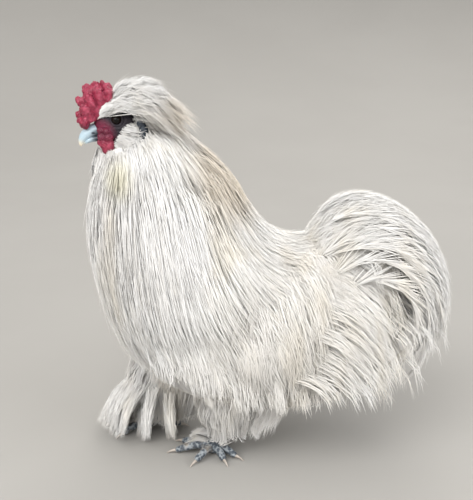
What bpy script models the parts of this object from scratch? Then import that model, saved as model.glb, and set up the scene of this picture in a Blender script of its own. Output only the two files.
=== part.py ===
"""A life-size silkie rooster standing in mid-step, in the parts a person would name.

The bird faces -X, its left side is -Y and the floor is z = 0, in metres. The body is one long
shell from the jaw to the tail root: a skin surface and a coat surface share the coordinates u
(along the bird) and v (round it), and h runs from the skin (0) to the feather tips (1).
"""

import math

import bmesh
import bpy
import numpy as np

GAP = 0.0003
# The bird is drawn about its own legs; this puts the middle of its length over the origin.
MID_LENGTH = 0.0340

# Body stations, jaw to tail root: throat or belly point (x, z), nape or back point (x, z), half width.
SKIN = np.array([
    (-0.113, 0.288, -0.086, 0.304, 0.016),
    (-0.113, 0.260, -0.068, 0.280, 0.021),
    (-0.112, 0.226, -0.046, 0.252, 0.030),
    (-0.110, 0.188, -0.022, 0.224, 0.045),
    (-0.104, 0.150, 0.000, 0.206, 0.055),
    (-0.088, 0.116, 0.018, 0.198, 0.058),
    (-0.060, 0.098, 0.032, 0.194, 0.054),
    (-0.026, 0.104, 0.044, 0.192, 0.042),
    (0.008, 0.124, 0.052, 0.190, 0.028),
    (0.036, 0.148, 0.060, 0.187, 0.016),
])
COAT = np.array([
    (-0.120, 0.286, -0.064, 0.320, 0.030),
    (-0.133, 0.250, -0.032, 0.292, 0.050),
    (-0.136, 0.212, -0.008, 0.270, 0.064),
    (-0.131, 0.175, 0.010, 0.240, 0.076),
    (-0.120, 0.135, 0.028, 0.216, 0.086),
    (-0.100, 0.095, 0.048, 0.205, 0.092),
    (-0.055, 0.062, 0.062, 0.204, 0.096),
    (0.005, 0.042, 0.074, 0.206, 0.094),
    (0.060, 0.038, 0.086, 0.208, 0.084),
    (0.100, 0.045, 0.098, 0.210, 0.068),
])
NECK_END = 3.0
# The solid core under the locks, as a part of the coat's depth: its station and height, front to rear.
CORE_DEPTHS = ((0.0, 4.5, 6.0, 9.0), (0.50, 0.50, 0.28, 0.16))
TAIL_CORE = 0.26
# The hackle lies over the front of the torso down to CAPE_END, outside the height CAPE_FLOOR of the shell.
CAPE_END = 4.75
CAPE_FLOOR = 0.60
# The wing lies on the torso's side over this patch of the shell, outside the same height.
WING_LOW_U, WING_HIGH_U = 4.95, 7.6
WING_LOW_V, WING_HIGH_V = math.radians(64), math.radians(116)

TAIL_SKIN = dict(centre=(0.094, 0.0, 0.180), pole=0.024, rear=0.022, side=0.018)
TAIL_COAT = dict(centre=(0.125, 0.0, 0.140), pole=0.106, rear=0.084, side=0.066)
TAIL_LEAN = math.radians(110)
TAIL_FRONT = 0.100
BACK_TOP = 0.206
RUMP = dict(centre=(0.070, 0.0, 0.174), long=0.046, wide=0.022, tall=0.024)

SKULL = dict(centre=(-0.103, 0.0, 0.311), long=0.0235, wide=0.0150, tall=0.0170)
SKULL_TAPER = 0.16
MUFF = dict(centre=(-0.0950, 0.0125, 0.3000), long=0.0130, wide=0.0090, tall=0.0120)
CREST = dict(centre=(-0.0880, 0.0, 0.3260), long=0.0265, wide=0.0180, tall=0.0140)
CREST_PITCH = 0.42
MUFF_TOP = 0.3120
BEAK_ROOT = (-0.1220, 0.0, 0.3070)
BEAK_TIP = (-0.1378, 0.0, 0.2925)
BEAK_HALF_WIDE = 0.0070
NOSTRIL = (-0.1268, 0.0062, 0.3068)
NOSTRIL_HALF = (0.0016, 0.0013, 0.0009)
BEAK_HALF_TALL = 0.0056
JAW_ROOT = (-0.1200, 0.0, 0.3000)
JAW_TIP = (-0.1325, 0.0, 0.2952)
JAW_HALF_WIDE = 0.0056
JAW_HALF_TALL = 0.0026
EYE_PLACE = (-0.1064, 0.0112, 0.3168)
EYE_RADIUS = 0.0048
LID_THICK = 0.0011
LOBE_PLACE = (-0.0850, 0.0200, 0.3065)
WATTLE = dict(centre=(-0.1130, 0.0095, 0.2935), long=0.0070, wide=0.0036, tall=0.0088)

# The comb is a cushion of upright lobes: fore-and-aft place, height of its top, half width and outward lean.
COMB_ROOT_LOW = (-0.1290, 0.0, 0.3150)
COMB_ROOT_HIGH = (-0.1120, 0.0, 0.3290)
COMB_TOPS = ((-0.1385, 0.3290), (-0.1345, 0.3410), (-0.1240, 0.3510), (-0.1130, 0.3490))
COMB_HALF_WIDE = 0.0105
COMB_LOBE = 0.0056

# Each leg: the middle of the thigh's fluff and its reach, the hock, the ankle and the toes' ends on the floor.
HIP = {-1: (-0.016, -0.037, 0.100), 1: (-0.064, 0.034, 0.102)}
THIGH_LOW = {-1: (-0.015, -0.033, 0.0180), 1: (-0.076, 0.034, 0.0200)}
THIGH_RADII = {-1: ((0.022, 0.021, 0.018, 0.014, 0.011, 0.009), (0.026, 0.028, 0.030, 0.028, 0.023, 0.017)),
               1: ((0.024, 0.023, 0.020, 0.015, 0.012, 0.009), (0.028, 0.031, 0.034, 0.036, 0.034, 0.027))}
# The fluff behind each leg reaches further than before it, by this share of the radius.
THIGH_REAR = {-1: 0.35, 1: 0.50}
HOCK = {-1: (-0.006, -0.035, 0.050), 1: (-0.068, 0.036, 0.050)}
ANKLE = {-1: (-0.026, -0.030, 0.0150), 1: (-0.083, 0.033, 0.0150)}
TOE_ENDS = {
    -1: {"inner": (-0.054, -0.008), "middle": (-0.062, -0.026), "outer": (-0.045, -0.049),
         "hind": (-0.007, -0.045), "fifth": (-0.019, -0.051)},
    1: {"inner": (-0.111, 0.015), "middle": (-0.120, 0.037), "outer": (-0.104, 0.055),
        "hind": (-0.053, 0.027), "fifth": (-0.059, 0.043)},
}
# Feathers on each foot: the way each one leaves the ankle (degrees from straight ahead, outwards) and its length.
BOOTS = {-1: ((-30, 0.019), (-9, 0.021)),
         1: ((-22, 0.034), (2, 0.038), (26, 0.040), (50, 0.036), (78, 0.030), (108, 0.024))}
CLAW_LONG = 0.0085
SHANK_RADIUS = 0.0062
FOOT_TOP = 0.0156
TOE_RADIUS = 0.0042
# Plates on each toe: a ring where one plate ends, raised, and one just beyond it where the next starts.
TOE_STATIONS = np.array([0.0, 0.30, 0.34, 0.54, 0.58, 0.77, 0.81, 1.0])
TOE_SWELL = np.array([1.25, 1.16, 0.98, 1.06, 0.90, 0.98, 0.82, 0.80])

PLUMAGE = ("plumage", (0.84, 0.83, 0.79, 1.0), 0.85)
BARE_FACE = ("bare_face", (0.09, 0.05, 0.07, 1.0), 0.6)
COMB_RED = ("comb_red", (0.40, 0.06, 0.11, 1.0), 0.5)
BEAK_BLUE = ("beak_blue", (0.52, 0.63, 0.70, 1.0), 0.35)
EYE_BLACK = ("eye_black", (0.015, 0.012, 0.012, 1.0), 0.08)
FOOT_SLATE = ("foot_slate", (0.30, 0.37, 0.43, 1.0), 0.6)
CLAW_HORN = ("claw_horn", (0.62, 0.57, 0.52, 1.0), 0.4)


def clear_scene():
    for old in list(bpy.data.objects):
        bpy.data.objects.remove(old)


def material(finish):
    name, colour, roughness = finish
    made = bpy.data.materials.get(name) or bpy.data.materials.new(name)
    made.use_nodes = True
    shader = made.node_tree.nodes["Principled BSDF"]
    shader.inputs["Base Color"].default_value = colour
    shader.inputs["Roughness"].default_value = roughness
    shader.inputs["Metallic"].default_value = 0.0
    return made


def mesh_object(name, points, faces, finish):
    """A mesh object with its faces turned outwards."""
    mesh = bpy.data.meshes.new(name)
    mesh.from_pydata([tuple(p) for p in points], [], [tuple(f) for f in faces])
    shell = bmesh.new()
    shell.from_mesh(mesh)
    bmesh.ops.recalc_face_normals(shell, faces=shell.faces)
    if shell.calc_volume(signed=True) < 0:
        bmesh.ops.reverse_faces(shell, faces=shell.faces)
    bmesh.ops.triangulate(shell, faces=shell.faces)
    shell.to_mesh(mesh)
    shell.free()
    mesh.materials.append(material(finish))
    made = bpy.data.objects.new(name, mesh)
    bpy.context.scene.collection.objects.link(made)
    return made


def ring_faces(rings, sides):
    """Quads between the rings of a grid, with a pole point before the first ring and after the last."""
    faces = []
    for r in range(rings - 1):
        for s in range(sides):
            t = (s + 1) % sides
            faces.append((1 + r * sides + s, 1 + r * sides + t, 1 + (r + 1) * sides + t, 1 + (r + 1) * sides + s))
    last = 1 + (rings - 1) * sides
    for s in range(sides):
        t = (s + 1) % sides
        faces.append((0, 1 + t, 1 + s))
        faces.append((last + sides, last + s, last + t))
    return faces


def skin_over(name, rings, first, last, finish):
    """A closed body through rings of points, closed by one point at each end."""
    rings = np.asarray(rings, float)
    count, sides = rings.shape[:2]
    points = np.vstack([np.reshape(first, (1, 3)), rings.reshape(-1, 3), np.reshape(last, (1, 3))])
    return mesh_object(name, points, ring_faces(count, sides), finish)


def unit(vectors):
    return vectors / np.maximum(np.linalg.norm(vectors, axis=-1, keepdims=True), 1e-12)


def along(rows, t):
    """A smooth curve through the rows of a table (Catmull-Rom), read at t counted in rows."""
    rows = np.asarray(rows, float)
    t = np.clip(np.asarray(t, float), 0.0, len(rows) - 1.0)
    low = np.minimum(t.astype(int), len(rows) - 2)
    f = (t - low)[..., None]
    p1, p2 = rows[low], rows[low + 1]
    p0 = np.where((low > 0)[..., None], rows[np.maximum(low - 1, 0)], 2 * p1 - p2)
    p3 = np.where((low < len(rows) - 2)[..., None], rows[np.minimum(low + 2, len(rows) - 1)], 2 * p2 - p1)
    slope1, slope2 = (p2 - p0) / 2, (p3 - p1) / 2
    return (
        (2 * f**3 - 3 * f**2 + 1) * p1
        + (f**3 - 2 * f**2 + f) * slope1
        + (3 * f**2 - 2 * f**3) * p2
        + (f**3 - f**2) * slope2
    )


def body_point(u, v, h):
    """Body shell: an egg-shaped section spanned by the belly point, the back point and the width."""
    u, v, h = np.broadcast_arrays(np.asarray(u, float), v, h)
    row = along(SKIN, u)
    row = row + (along(COAT, u) - row) * h[..., None]
    belly, back, wide = row[..., 0:2], row[..., 2:4], row[..., 4]
    middle, reach = (belly + back) / 2, (belly - back) / 2
    plane = middle + reach * np.cos(v)[..., None]
    side = wide * np.sin(v) * (1 + 0.12 * np.cos(v))
    return np.stack([plane[..., 0], side, plane[..., 1]], -1)


def tail_point(a, t, h):
    """Tail shell: an ellipsoid read from its upper front pole (t = 0) down its meridians (a = 0 behind)."""
    a, t, h = np.broadcast_arrays(np.asarray(a, float), t, h)
    pole = np.array([math.cos(TAIL_LEAN), 0.0, math.sin(TAIL_LEAN)])
    rear = np.array([math.sin(TAIL_LEAN), 0.0, -math.cos(TAIL_LEAN)])
    side = np.array([0.0, 1.0, 0.0])

    def mix(key):
        low, high = np.asarray(TAIL_SKIN[key], float), np.asarray(TAIL_COAT[key], float)
        return low + (high - low) * (h[..., None])

    return (
        mix("centre")
        + mix("pole") * np.cos(math.pi * t)[..., None] * pole
        + mix("rear") * (np.sin(math.pi * t) * np.cos(a))[..., None] * rear
        + mix("side") * (np.sin(math.pi * t) * np.sin(a))[..., None] * side
    )


def apply_modifier(obj, made):
    graph = bpy.context.evaluated_depsgraph_get()
    mesh = bpy.data.meshes.new_from_object(obj.evaluated_get(graph))
    obj.modifiers.remove(made)
    old = obj.data
    obj.data = mesh
    bpy.data.meshes.remove(old)


def boolean(obj, others, operation, solver="MANIFOLD"):
    """One Boolean of obj with a list of closed objects, which are removed afterwards."""
    group = bpy.data.collections.new("pieces")
    bpy.context.scene.collection.children.link(group)
    for other in others:
        group.objects.link(other)
    cut = obj.modifiers.new("cut", "BOOLEAN")
    cut.operation = operation
    cut.operand_type = "COLLECTION"
    cut.solver = solver
    cut.collection = group
    bpy.context.view_layer.update()
    apply_modifier(obj, cut)
    for other in others:
        bpy.data.objects.remove(other)
    bpy.data.collections.remove(group)
    return obj


def keep_largest(obj):
    """Keeps the largest closed surface, so that no sealed hollow or loose scrap stays."""
    shell = bmesh.new()
    shell.from_mesh(obj.data)
    unseen = set(shell.faces)
    parts = []
    while unseen:
        start = unseen.pop()
        found, edge = [start], [start]
        while edge:
            face = edge.pop()
            for line in face.edges:
                for near in line.link_faces:
                    if near in unseen:
                        unseen.remove(near)
                        found.append(near)
                        edge.append(near)
        parts.append(found)

    def volume(faces):
        return sum(
            part for part in (
                f.verts[0].co.dot(f.verts[i].co.cross(f.verts[i + 1].co)) / 6
                for f in faces for i in range(1, len(f.verts) - 1)
            )
        )

    parts.sort(key=volume)
    for scrap in parts[:-1]:
        bmesh.ops.delete(shell, geom=scrap, context="FACES")
    loose = [p for p in shell.verts if not p.link_faces]
    bmesh.ops.delete(shell, geom=loose, context="VERTS")
    shell.to_mesh(obj.data)
    shell.free()
    return obj


def box(name, low, high, finish=PLUMAGE):
    low, high = np.array(low, float), np.array(high, float)
    corners = [(x, y, z) for x in (low[0], high[0]) for y in (low[1], high[1]) for z in (low[2], high[2])]
    faces = [(0, 1, 3, 2), (4, 6, 7, 5), (0, 4, 5, 1), (2, 3, 7, 6), (0, 2, 6, 4), (1, 5, 7, 3)]
    return mesh_object(name, corners, faces, finish)


def egg(name, centre, long, wide, tall, finish, pitch=0.0, grow=0.0, rings=11, sides=20, taper=0.0):
    """An ellipsoid whose long axis lies along X, pitched about Y, and thinner in front by taper."""
    t = np.linspace(0, math.pi, rings + 2)[1:-1, None]
    s = np.linspace(0, 2 * math.pi, sides, endpoint=False)[None, :]
    x = -(long + grow) * np.cos(t) + 0 * s
    slim = 1 + taper * np.cos(t)
    y = (wide + grow) * np.sin(t) * np.cos(s) / slim
    z = (tall + grow) * np.sin(t) * np.sin(s) / slim
    points = np.stack([x, y, z], -1)
    turn = np.array([[math.cos(pitch), 0, math.sin(pitch)], [0, 1, 0], [-math.sin(pitch), 0, math.cos(pitch)]])
    ends = np.array([(-(long + grow), 0, 0), ((long + grow), 0, 0)]) @ turn.T + centre
    return skin_over(name, points @ turn.T + centre, ends[0], ends[1], finish)


def tube(name, path, radii, finish, sides=10, flat=1.0, up=(0.0, 0.0, 1.0), ends=(0.0, 0.0)):
    """A round bar along a path, with a radius at each point, its height scaled by flat and domed ends."""
    path = np.asarray(path, float)
    radii = np.broadcast_to(np.asarray(radii, float), len(path))
    way = unit(np.gradient(path, axis=0))
    side = unit(np.cross(way, up))
    top = np.cross(side, way)
    s = np.linspace(0, 2 * math.pi, sides, endpoint=False)
    rings = (
        path[:, None]
        + radii[:, None, None] * np.cos(s)[None, :, None] * side[:, None]
        + flat * radii[:, None, None] * np.sin(s)[None, :, None] * top[:, None]
    )
    first, last = path[0] - way[0] * radii[0] * ends[0], path[-1] + way[-1] * radii[-1] * ends[1]
    return skin_over(name, rings, first, last, finish)


def mirrored(place, side):
    """A place named for the right side (+Y), moved to the wanted side."""
    return np.array(place, float) * np.array([1.0, side, 1.0])


def core_depth(u):
    return np.interp(u, *CORE_DEPTHS)


def body_length(name, start, end, depth=None, grow=0.0, stations=8, sides=24, trim=True):
    """The length of the body shell between two stations, at a height or at the core's own."""
    u = np.linspace(start, end, stations)[:, None]
    v = np.linspace(0, 2 * math.pi, sides, endpoint=False)[None, :]
    rings = body_point(u, v, core_depth(u) if depth is None else depth)
    if grow:
        middle = rings.mean(axis=1, keepdims=True)
        rings = rings + grow * unit(rings - middle)
    for end_ring, inner in ((0, 1), (-1, -2)):
        inwards = unit(rings[inner].mean(axis=0) - rings[end_ring].mean(axis=0))
        shift = GAP / 2 if trim else -GAP / 2
        rings[end_ring] = rings[end_ring] + inwards * shift
    return skin_over(name, rings, rings[0].mean(axis=0), rings[-1].mean(axis=0), PLUMAGE)


def shell_path(shell, start, lie, length, heights, steps=8, floor=0.0, ceiling=None, last=None, knee=0.4,
               rise_first=False):
    """Follows a lie over a shell, rising through three heights, and returns points and outward ways."""
    p, q = start
    points, outward, reached = [], [], []
    for n in range(steps + 1):
        s = n / steps
        h = max(np.interp(s, (0.0, knee, 1.0), heights), floor if s > 0.12 else 0.0)
        if ceiling is not None:
            h = min(h, ceiling(p, q))
        here = shell(p, q, h)
        along_p = (shell(p + 0.001, q, h) - here) / 0.001
        along_q = (shell(p, q + 0.001, h) - here) / 0.001
        out = unit(np.cross(along_p, along_q))
        out = out if np.dot(out, shell(p, q, h + 0.1) - here) > 0 else -out
        points.append(here)
        outward.append(out)
        reached.append(p)
        want = lie(p, q, unit(along_p), unit(along_q))
        stride = np.interp(s, (knee, knee + 0.06), (0.12, 1.0)) if rise_first else 1.0
        want = unit(want - out * np.dot(want, out)) * length / steps * stride
        move = np.linalg.lstsq(np.stack([along_p, along_q], 1), want, rcond=1e-4)[0]
        p, q = p + move[0], q + move[1]
    points, outward = np.array(points), np.array(outward)
    if last is not None and reached[-1] > last:
        cut = np.interp(last, reached, np.linspace(0, 1, steps + 1))
        kept = np.linspace(0, cut, steps + 1)
        points, outward = read_at(points, kept), read_at(outward, kept)
    return points, outward


def read_at(rows, s):
    """Rows that stand at even steps from 0 to 1, read at s."""
    return np.stack([np.interp(s, np.linspace(0, 1, len(rows)), column) for column in rows.T], -1)


def bent_path(root, first_way, last_way, length, steps=8):
    """A path that leaves its root one way and bends evenly to another."""
    s = np.linspace(0, 1, steps)[:, None]
    ways = unit(unit(np.array(first_way, float)) * (1 - s) + unit(np.array(last_way, float)) * s)
    return np.vstack([root, np.array(root, float) + np.cumsum(ways, axis=0) * length / steps])


LOCK_STATIONS = np.array([0.0, 0.45, 0.80])
LOCK_SWELL = np.array([0.42, 1.0, 0.74])
LOCK_THICKNESS = np.array([1.1, 1.1, 0.7])
VANE_STATIONS = np.array([0.0, 0.20, 0.50, 0.80])


def lock(path, outward, wide, thick, stations=LOCK_STATIONS, cup=0.10):
    """A tapered lock: a low ridged section carried along its path to a point."""
    swell = np.interp(stations, LOCK_STATIONS, LOCK_SWELL) * wide
    depth = np.interp(stations, LOCK_STATIONS, LOCK_THICKNESS) * thick
    middle, out = read_at(path, stations), unit(read_at(outward, stations))
    way = unit(read_at(path, np.minimum(stations + 0.04, 1)) - read_at(path, np.maximum(stations - 0.04, 0)))
    side = np.cross(out, way)
    # Where a lock rises straight out of the skin, it keeps the breadth that it has further on.
    for n in range(len(side) - 2, -1, -1):
        if np.linalg.norm(side[n]) < 0.5:
            side[n] = side[n + 1]
    side = unit(side)
    out = np.cross(way, side)
    under = out * (depth * 0.4 + cup * swell)[:, None]
    edge, ridge = side * swell[:, None], out * (depth * 0.6)[:, None]
    rings = np.stack([middle + edge - under, middle + ridge, middle - edge - under], 1)
    return skin_over("lock", rings, path[0], path[-1], PLUMAGE)


def locks_along(paths):
    """One closed mesh of many locks; each entry is (path, outward, wide, thick)."""
    made = [lock(*entry) for entry in paths]
    first = made[0]
    return boolean(first, made[1:], "UNION") if len(made) > 1 else first


def spread_over(shell, rows, spacing, low, high, draw, depth=1.0):
    """Roots on a shell: along each row of the first coordinate, evenly spaced and staggered in the second."""
    places = []
    for n, p in enumerate(rows):
        q = np.linspace(low, high, 60)
        line = shell(np.full(60, p), q, np.full(60, depth))
        run = np.concatenate([[0], np.cumsum(np.linalg.norm(np.diff(line, axis=0), axis=1))])
        count = max(int(round(run[-1] / spacing)), 1)
        at = (np.arange(count) + (0.25 if n % 2 else 0.75)) / count * run[-1]
        for value in np.interp(at, run, q):
            places.append((p + draw.uniform(-0.08, 0.08), value + draw.uniform(-0.02, 0.02)))
    return places


def torso_ceiling(u, v):
    """How high a torso lock may stand: low under the hackle's cape and under the wing."""
    turn = abs((v + math.pi) % (2 * math.pi) - math.pi)
    cape = np.interp(u, (CAPE_END - 0.1, CAPE_END + 0.7), (0.48, 1.0))
    beyond_u = max(WING_LOW_U - u, u - WING_HIGH_U, 0.0) / 0.6
    beyond_v = max(WING_LOW_V - turn, turn - WING_HIGH_V, 0.0) / math.radians(14)
    wing = min(0.48 + 0.52 * max(beyond_u, beyond_v), 1.0)
    return min(cape, wing)


def torso_lie(u, v, along_u, along_v):
    """Feathers run back along the bird near the neck and hang more and more behind it."""
    hang = np.interp(u, (3.2, 6.0), (0.25, 0.85))
    back = np.interp(u, (6.8, 8.0), (0.34, 0.04))
    return along_u * (1 - hang) * np.interp(u, (6.8, 8.0), (1.0, 0.2)) + np.array([back, 0.0, -1.0]) * hang


def straight_down(u, v, along_u, along_v):
    return np.array([0.06, 0.0, -1.0])


def torso_core():
    core = body_length("core", NECK_END, 9.0, stations=12, sides=18)
    rump = egg("r", RUMP["centre"], RUMP["long"], RUMP["wide"], RUMP["tall"], PLUMAGE, rings=7, sides=16)
    return boolean(core, [rump], "UNION")


def torso_core_room():
    core = body_length("room", NECK_END, 9.0, grow=GAP, stations=12, sides=18, trim=False)
    rump = egg("r", RUMP["centre"], RUMP["long"], RUMP["wide"], RUMP["tall"], PLUMAGE, grow=GAP, rings=7, sides=16)
    return boolean(core, [rump], "UNION")


def shell_patch(name, u_range, v_range, h_range, u_count=8, v_count=8):
    """A closed block of the body shell between two heights; a whole turn of v makes a ring of it."""
    u = np.linspace(*u_range, u_count)[:, None]
    if v_range is None:
        v = np.linspace(0, 2 * math.pi, 24, endpoint=False)[None, :]
        rings = np.concatenate([body_point(u, v, h_range[1]), body_point(u[::-1], v, h_range[0])])
        rows, columns = rings.shape[:2]
        faces = [
            (r * columns + c, r * columns + (c + 1) % columns,
             (r + 1) % rows * columns + (c + 1) % columns, (r + 1) % rows * columns + c)
            for r in range(rows) for c in range(columns)
        ]
        return mesh_object(name, rings.reshape(-1, 3), faces, PLUMAGE)
    v = np.linspace(*v_range, v_count)
    edge = np.concatenate([v, v[::-1]])[None, :]
    height = np.concatenate([np.full(v_count, h_range[1]), np.full(v_count, h_range[0])])[None, :]
    rings = body_point(u, edge, height)
    return skin_over(name, rings, rings[0].mean(axis=0), rings[-1].mean(axis=0), PLUMAGE)


def wing_zone(name, side, grow):
    """The block of the shell that holds one wing."""
    low, high = WING_LOW_V - grow, WING_HIGH_V + grow
    turns = (low, high) if side > 0 else (2 * math.pi - high, 2 * math.pi - low)
    return shell_patch(name, (WING_LOW_U - grow, WING_HIGH_U + grow), turns, (CAPE_FLOOR - grow * 0.4, 1.4))


def make_torso():
    draw = np.random.default_rng(11)
    paths = []
    for n, (u, v) in enumerate(spread_over(body_point, (4.15, 5.45, 6.75, 8.1), 0.057, 0.0, 2 * math.pi, draw)):
        turn = abs((v + math.pi) % (2 * math.pi) - math.pi)
        place = body_point(u, v, 1.0)
        in_front = place[0] < -0.005
        over_wing = WING_LOW_U - 0.1 < u < WING_HIGH_U + 0.1
        if over_wing and math.radians(78) < turn < WING_HIGH_V:
            continue
        if turn < math.radians(20) and not 7.0 < u < 8.0:
            continue
        length = np.interp(math.degrees(turn), (0, 60, 90, 140), (0.052, 0.066, 0.084, 0.064))
        if turn < math.radians(62) and in_front:
            length = 0.044
        if over_wing and turn > WING_HIGH_V:
            length = min(length, 0.018 + (turn - WING_HIGH_V) * 0.085)
        length *= draw.uniform(0.9, 1.1)
        top = (0.98, 0.80)[n % 2] * draw.uniform(0.97, 1.03)
        path, out = shell_path(body_point, (u, v), torso_lie, length, (core_depth(u) - 0.12, 0.82 * top, top),
                               ceiling=torso_ceiling)
        paths.append((path, out, 0.0248 * draw.uniform(0.9, 1.12), 0.0044))
    # Locks that hang from under the wing over the top of the leg.
    for u in (5.4, 6.35, 7.2):
        for side in (-1, 1):
            start = (u, side * math.radians(76 + draw.uniform(-2, 2)))
            path, out = shell_path(body_point, start, straight_down, 0.070 * draw.uniform(0.9, 1.1),
                                   (core_depth(u) - 0.12, 0.62, 0.94), ceiling=torso_ceiling)
            paths.append((path, out, 0.0220, 0.0042))
    locks = locks_along(paths)
    away = [shell_patch("cape", (NECK_END - 0.3, CAPE_END), None, (CAPE_FLOOR - 0.012, 1.5))]
    away += [wing_zone("w", side, 0.02) for side in (-1, 1)]
    away += [thigh_room("t", side, 0.14) for side in (-1, 1)]
    away.append(box("behind", (TAIL_FRONT - GAP, -0.2, -0.1), (0.4, 0.2, BACK_TOP + 0.1)))
    away.append(box("above", (0.060, -0.2, BACK_TOP - GAP), (0.4, 0.2, 0.5)))
    boolean(locks, away, "DIFFERENCE")
    core = torso_core()
    core.name = "torso"
    boolean(core, [box("behind", (TAIL_FRONT - GAP, -0.2, -0.1), (0.4, 0.2, 0.5))], "DIFFERENCE")
    return keep_largest(boolean(core, [locks], "UNION"))


def hackle_lie(u, v, along_u, along_v):
    return along_u


def neck_core(name, grow=0.0):
    return body_length(name, 0.0, NECK_END, grow=grow, stations=7, sides=16, trim=not grow)


def make_neck():
    draw = np.random.default_rng(7)
    paths = []
    for n, (u, v) in enumerate(spread_over(body_point, (0.45, 1.40, 2.45), 0.0425, 0.0, 2 * math.pi, draw)):
        length = np.interp(u, (0.3, 1.5, 2.8), (0.070, 0.088, 0.088)) * draw.uniform(0.9, 1.1)
        top = np.interp(u, (0.3, 1.2), (0.86, 1.0)) * (1.0, 0.86)[n % 2] * draw.uniform(0.98, 1.02)
        floor = 0.68 if u > 2.0 else 0.0
        path, out = shell_path(body_point, (u, v), hackle_lie, length, (0.36, 0.84 * top, top), floor=floor,
                               last=CAPE_END - 0.1)
        paths.append((path, out, 0.0200 * draw.uniform(0.9, 1.12), 0.0050))
    # Short locks on the nape fill the step behind the crest.
    for v in np.radians((128, 180, 232)):
        path, out = shell_path(body_point, (0.08, v), hackle_lie, 0.046, (0.40, 0.84, 0.88), knee=0.22)
        paths.append((path, out, 0.0215, 0.0040))
    locks = locks_along(paths)
    inside = body_length("inside", NECK_END - 0.02, 7.0, CAPE_FLOOR, grow=GAP, stations=9, trim=False)
    beyond = body_length("beyond", CAPE_END - 0.02, 7.5, 1.5, stations=7, trim=False)
    boolean(locks, [inside, beyond, head_room()], "DIFFERENCE")
    core = neck_core("neck")
    return keep_largest(boolean(core, [locks], "UNION"))


def neck_room():
    """The neck with its coat at its fullest, for what lies over it."""
    return body_length("room", 0.0, NECK_END, 1.0, grow=0.0012, stations=8, trim=False)


def tail_core(name):
    t = np.linspace(0, 1, 10)[1:-1, None]
    a = np.linspace(0, 2 * math.pi, 16, endpoint=False)[None, :]
    rings = tail_point(a, t, TAIL_CORE)
    return skin_over(name, rings, tail_point(0.0, 0.0, TAIL_CORE), tail_point(0.0, 1.0, TAIL_CORE), PLUMAGE)


def swapped_tail(t, a, h):
    return tail_point(a, t, h)


def fall_lie(t, a, along_t, along_a):
    return along_t + np.array([0, 0, -0.35])


def make_tail():
    draw = np.random.default_rng(5)
    # Each tier of vanes: how many, its widest turn, where it roots and ends on the shell and its height.
    tiers = (
        (8, 94, 0.08, 0.82, 1.00),
        (7, 106, 0.18, 0.95, 0.82),
        (4, 76, 0.40, 0.98, 0.62),
    )
    paths = []
    for count, widest, start, end, top in tiers:
        for turn in np.linspace(-widest, widest, count):
            a = math.radians(turn + draw.uniform(-3, 3))
            t0 = start + draw.uniform(-0.02, 0.02)
            t1 = end + draw.uniform(-0.05, 0.05)
            line = tail_point(np.full(20, a), np.linspace(t0, t1, 20), np.full(20, top))
            length = np.linalg.norm(np.diff(line, axis=0), axis=1).sum() * 1.17
            path, out = shell_path(swapped_tail, (t0, a), fall_lie, length, (0.16, top * 0.98, top), steps=14,
                                   knee=0.14, rise_first=True)
            paths.append((path, out, 0.0178 * draw.uniform(0.92, 1.1), 0.0036, VANE_STATIONS))
    # The cushion in front of the tail, which falls towards the saddle.
    for turn, rise in ((176, 0.92), (132, 0.86), (-136, 0.90), (94, 0.82), (-92, 0.84)):
        a = math.radians(turn + draw.uniform(-5, 5))
        path, out = shell_path(swapped_tail, (0.12, a), fall_lie, 0.070, (0.10, rise, rise), steps=10, knee=0.2,
                               rise_first=True)
        paths.append((path, out, 0.0225, 0.0050))
    locks = locks_along(paths)
    core = tail_core("tail")
    boolean(core, [locks], "UNION")
    away = [
        box("below", (-0.1, -0.2, -0.1), (TAIL_FRONT + GAP / 2, 0.2, BACK_TOP + GAP / 2)),
        box("before", (-0.1, -0.2, -0.1), (0.060 - GAP, 0.2, 0.5)),
        torso_core_room(),
    ]
    return keep_largest(boolean(core, away, "DIFFERENCE"))


def skull(name, grow=0.0):
    return egg(name, SKULL["centre"], SKULL["long"], SKULL["wide"], SKULL["tall"], BARE_FACE,
               grow=grow, taper=SKULL_TAPER, rings=9, sides=16)


def eyeball(name, side, grow=0.0):
    radius = EYE_RADIUS
    return egg(name, mirrored(EYE_PLACE, side), radius, radius, radius, EYE_BLACK, grow=grow, rings=6, sides=12)


def lid(name, side):
    """The ring of the eyelids, standing round the eyeball where it leaves the skin."""
    turn = np.linspace(0, 2 * math.pi, 10, endpoint=False)
    place = mirrored(EYE_PLACE, side) + (0, side * 0.0026, 0)
    round_eye = EYE_RADIUS * 0.92
    ring = np.stack([round_eye * 1.12 * np.cos(turn), 0 * turn, round_eye * np.sin(turn)], -1)
    s = np.linspace(0, 2 * math.pi, 4, endpoint=False)
    outwards = unit(ring)
    rings = (
        place + ring[:, None]
        + LID_THICK * np.cos(s)[None, :, None] * outwards[:, None]
        + LID_THICK * np.sin(s)[None, :, None] * np.array([0, 1, 0.0])
    )
    count, sides = rings.shape[:2]
    faces = [
        (r * sides + q, (r + 1) % count * sides + q, (r + 1) % count * sides + (q + 1) % sides,
         r * sides + (q + 1) % sides)
        for r in range(count) for q in range(sides)
    ]
    return mesh_object(name, rings.reshape(-1, 3), faces, BARE_FACE)


def make_head():
    head = skull("head")
    boolean(head, [lid("l", 1), lid("l", -1)], "UNION")
    return keep_largest(boolean(head, [eyeball("e", 1, GAP), eyeball("e", -1, GAP), neck_core("n", GAP)], "DIFFERENCE"))


def head_room():
    return skull("room", GAP)


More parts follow.
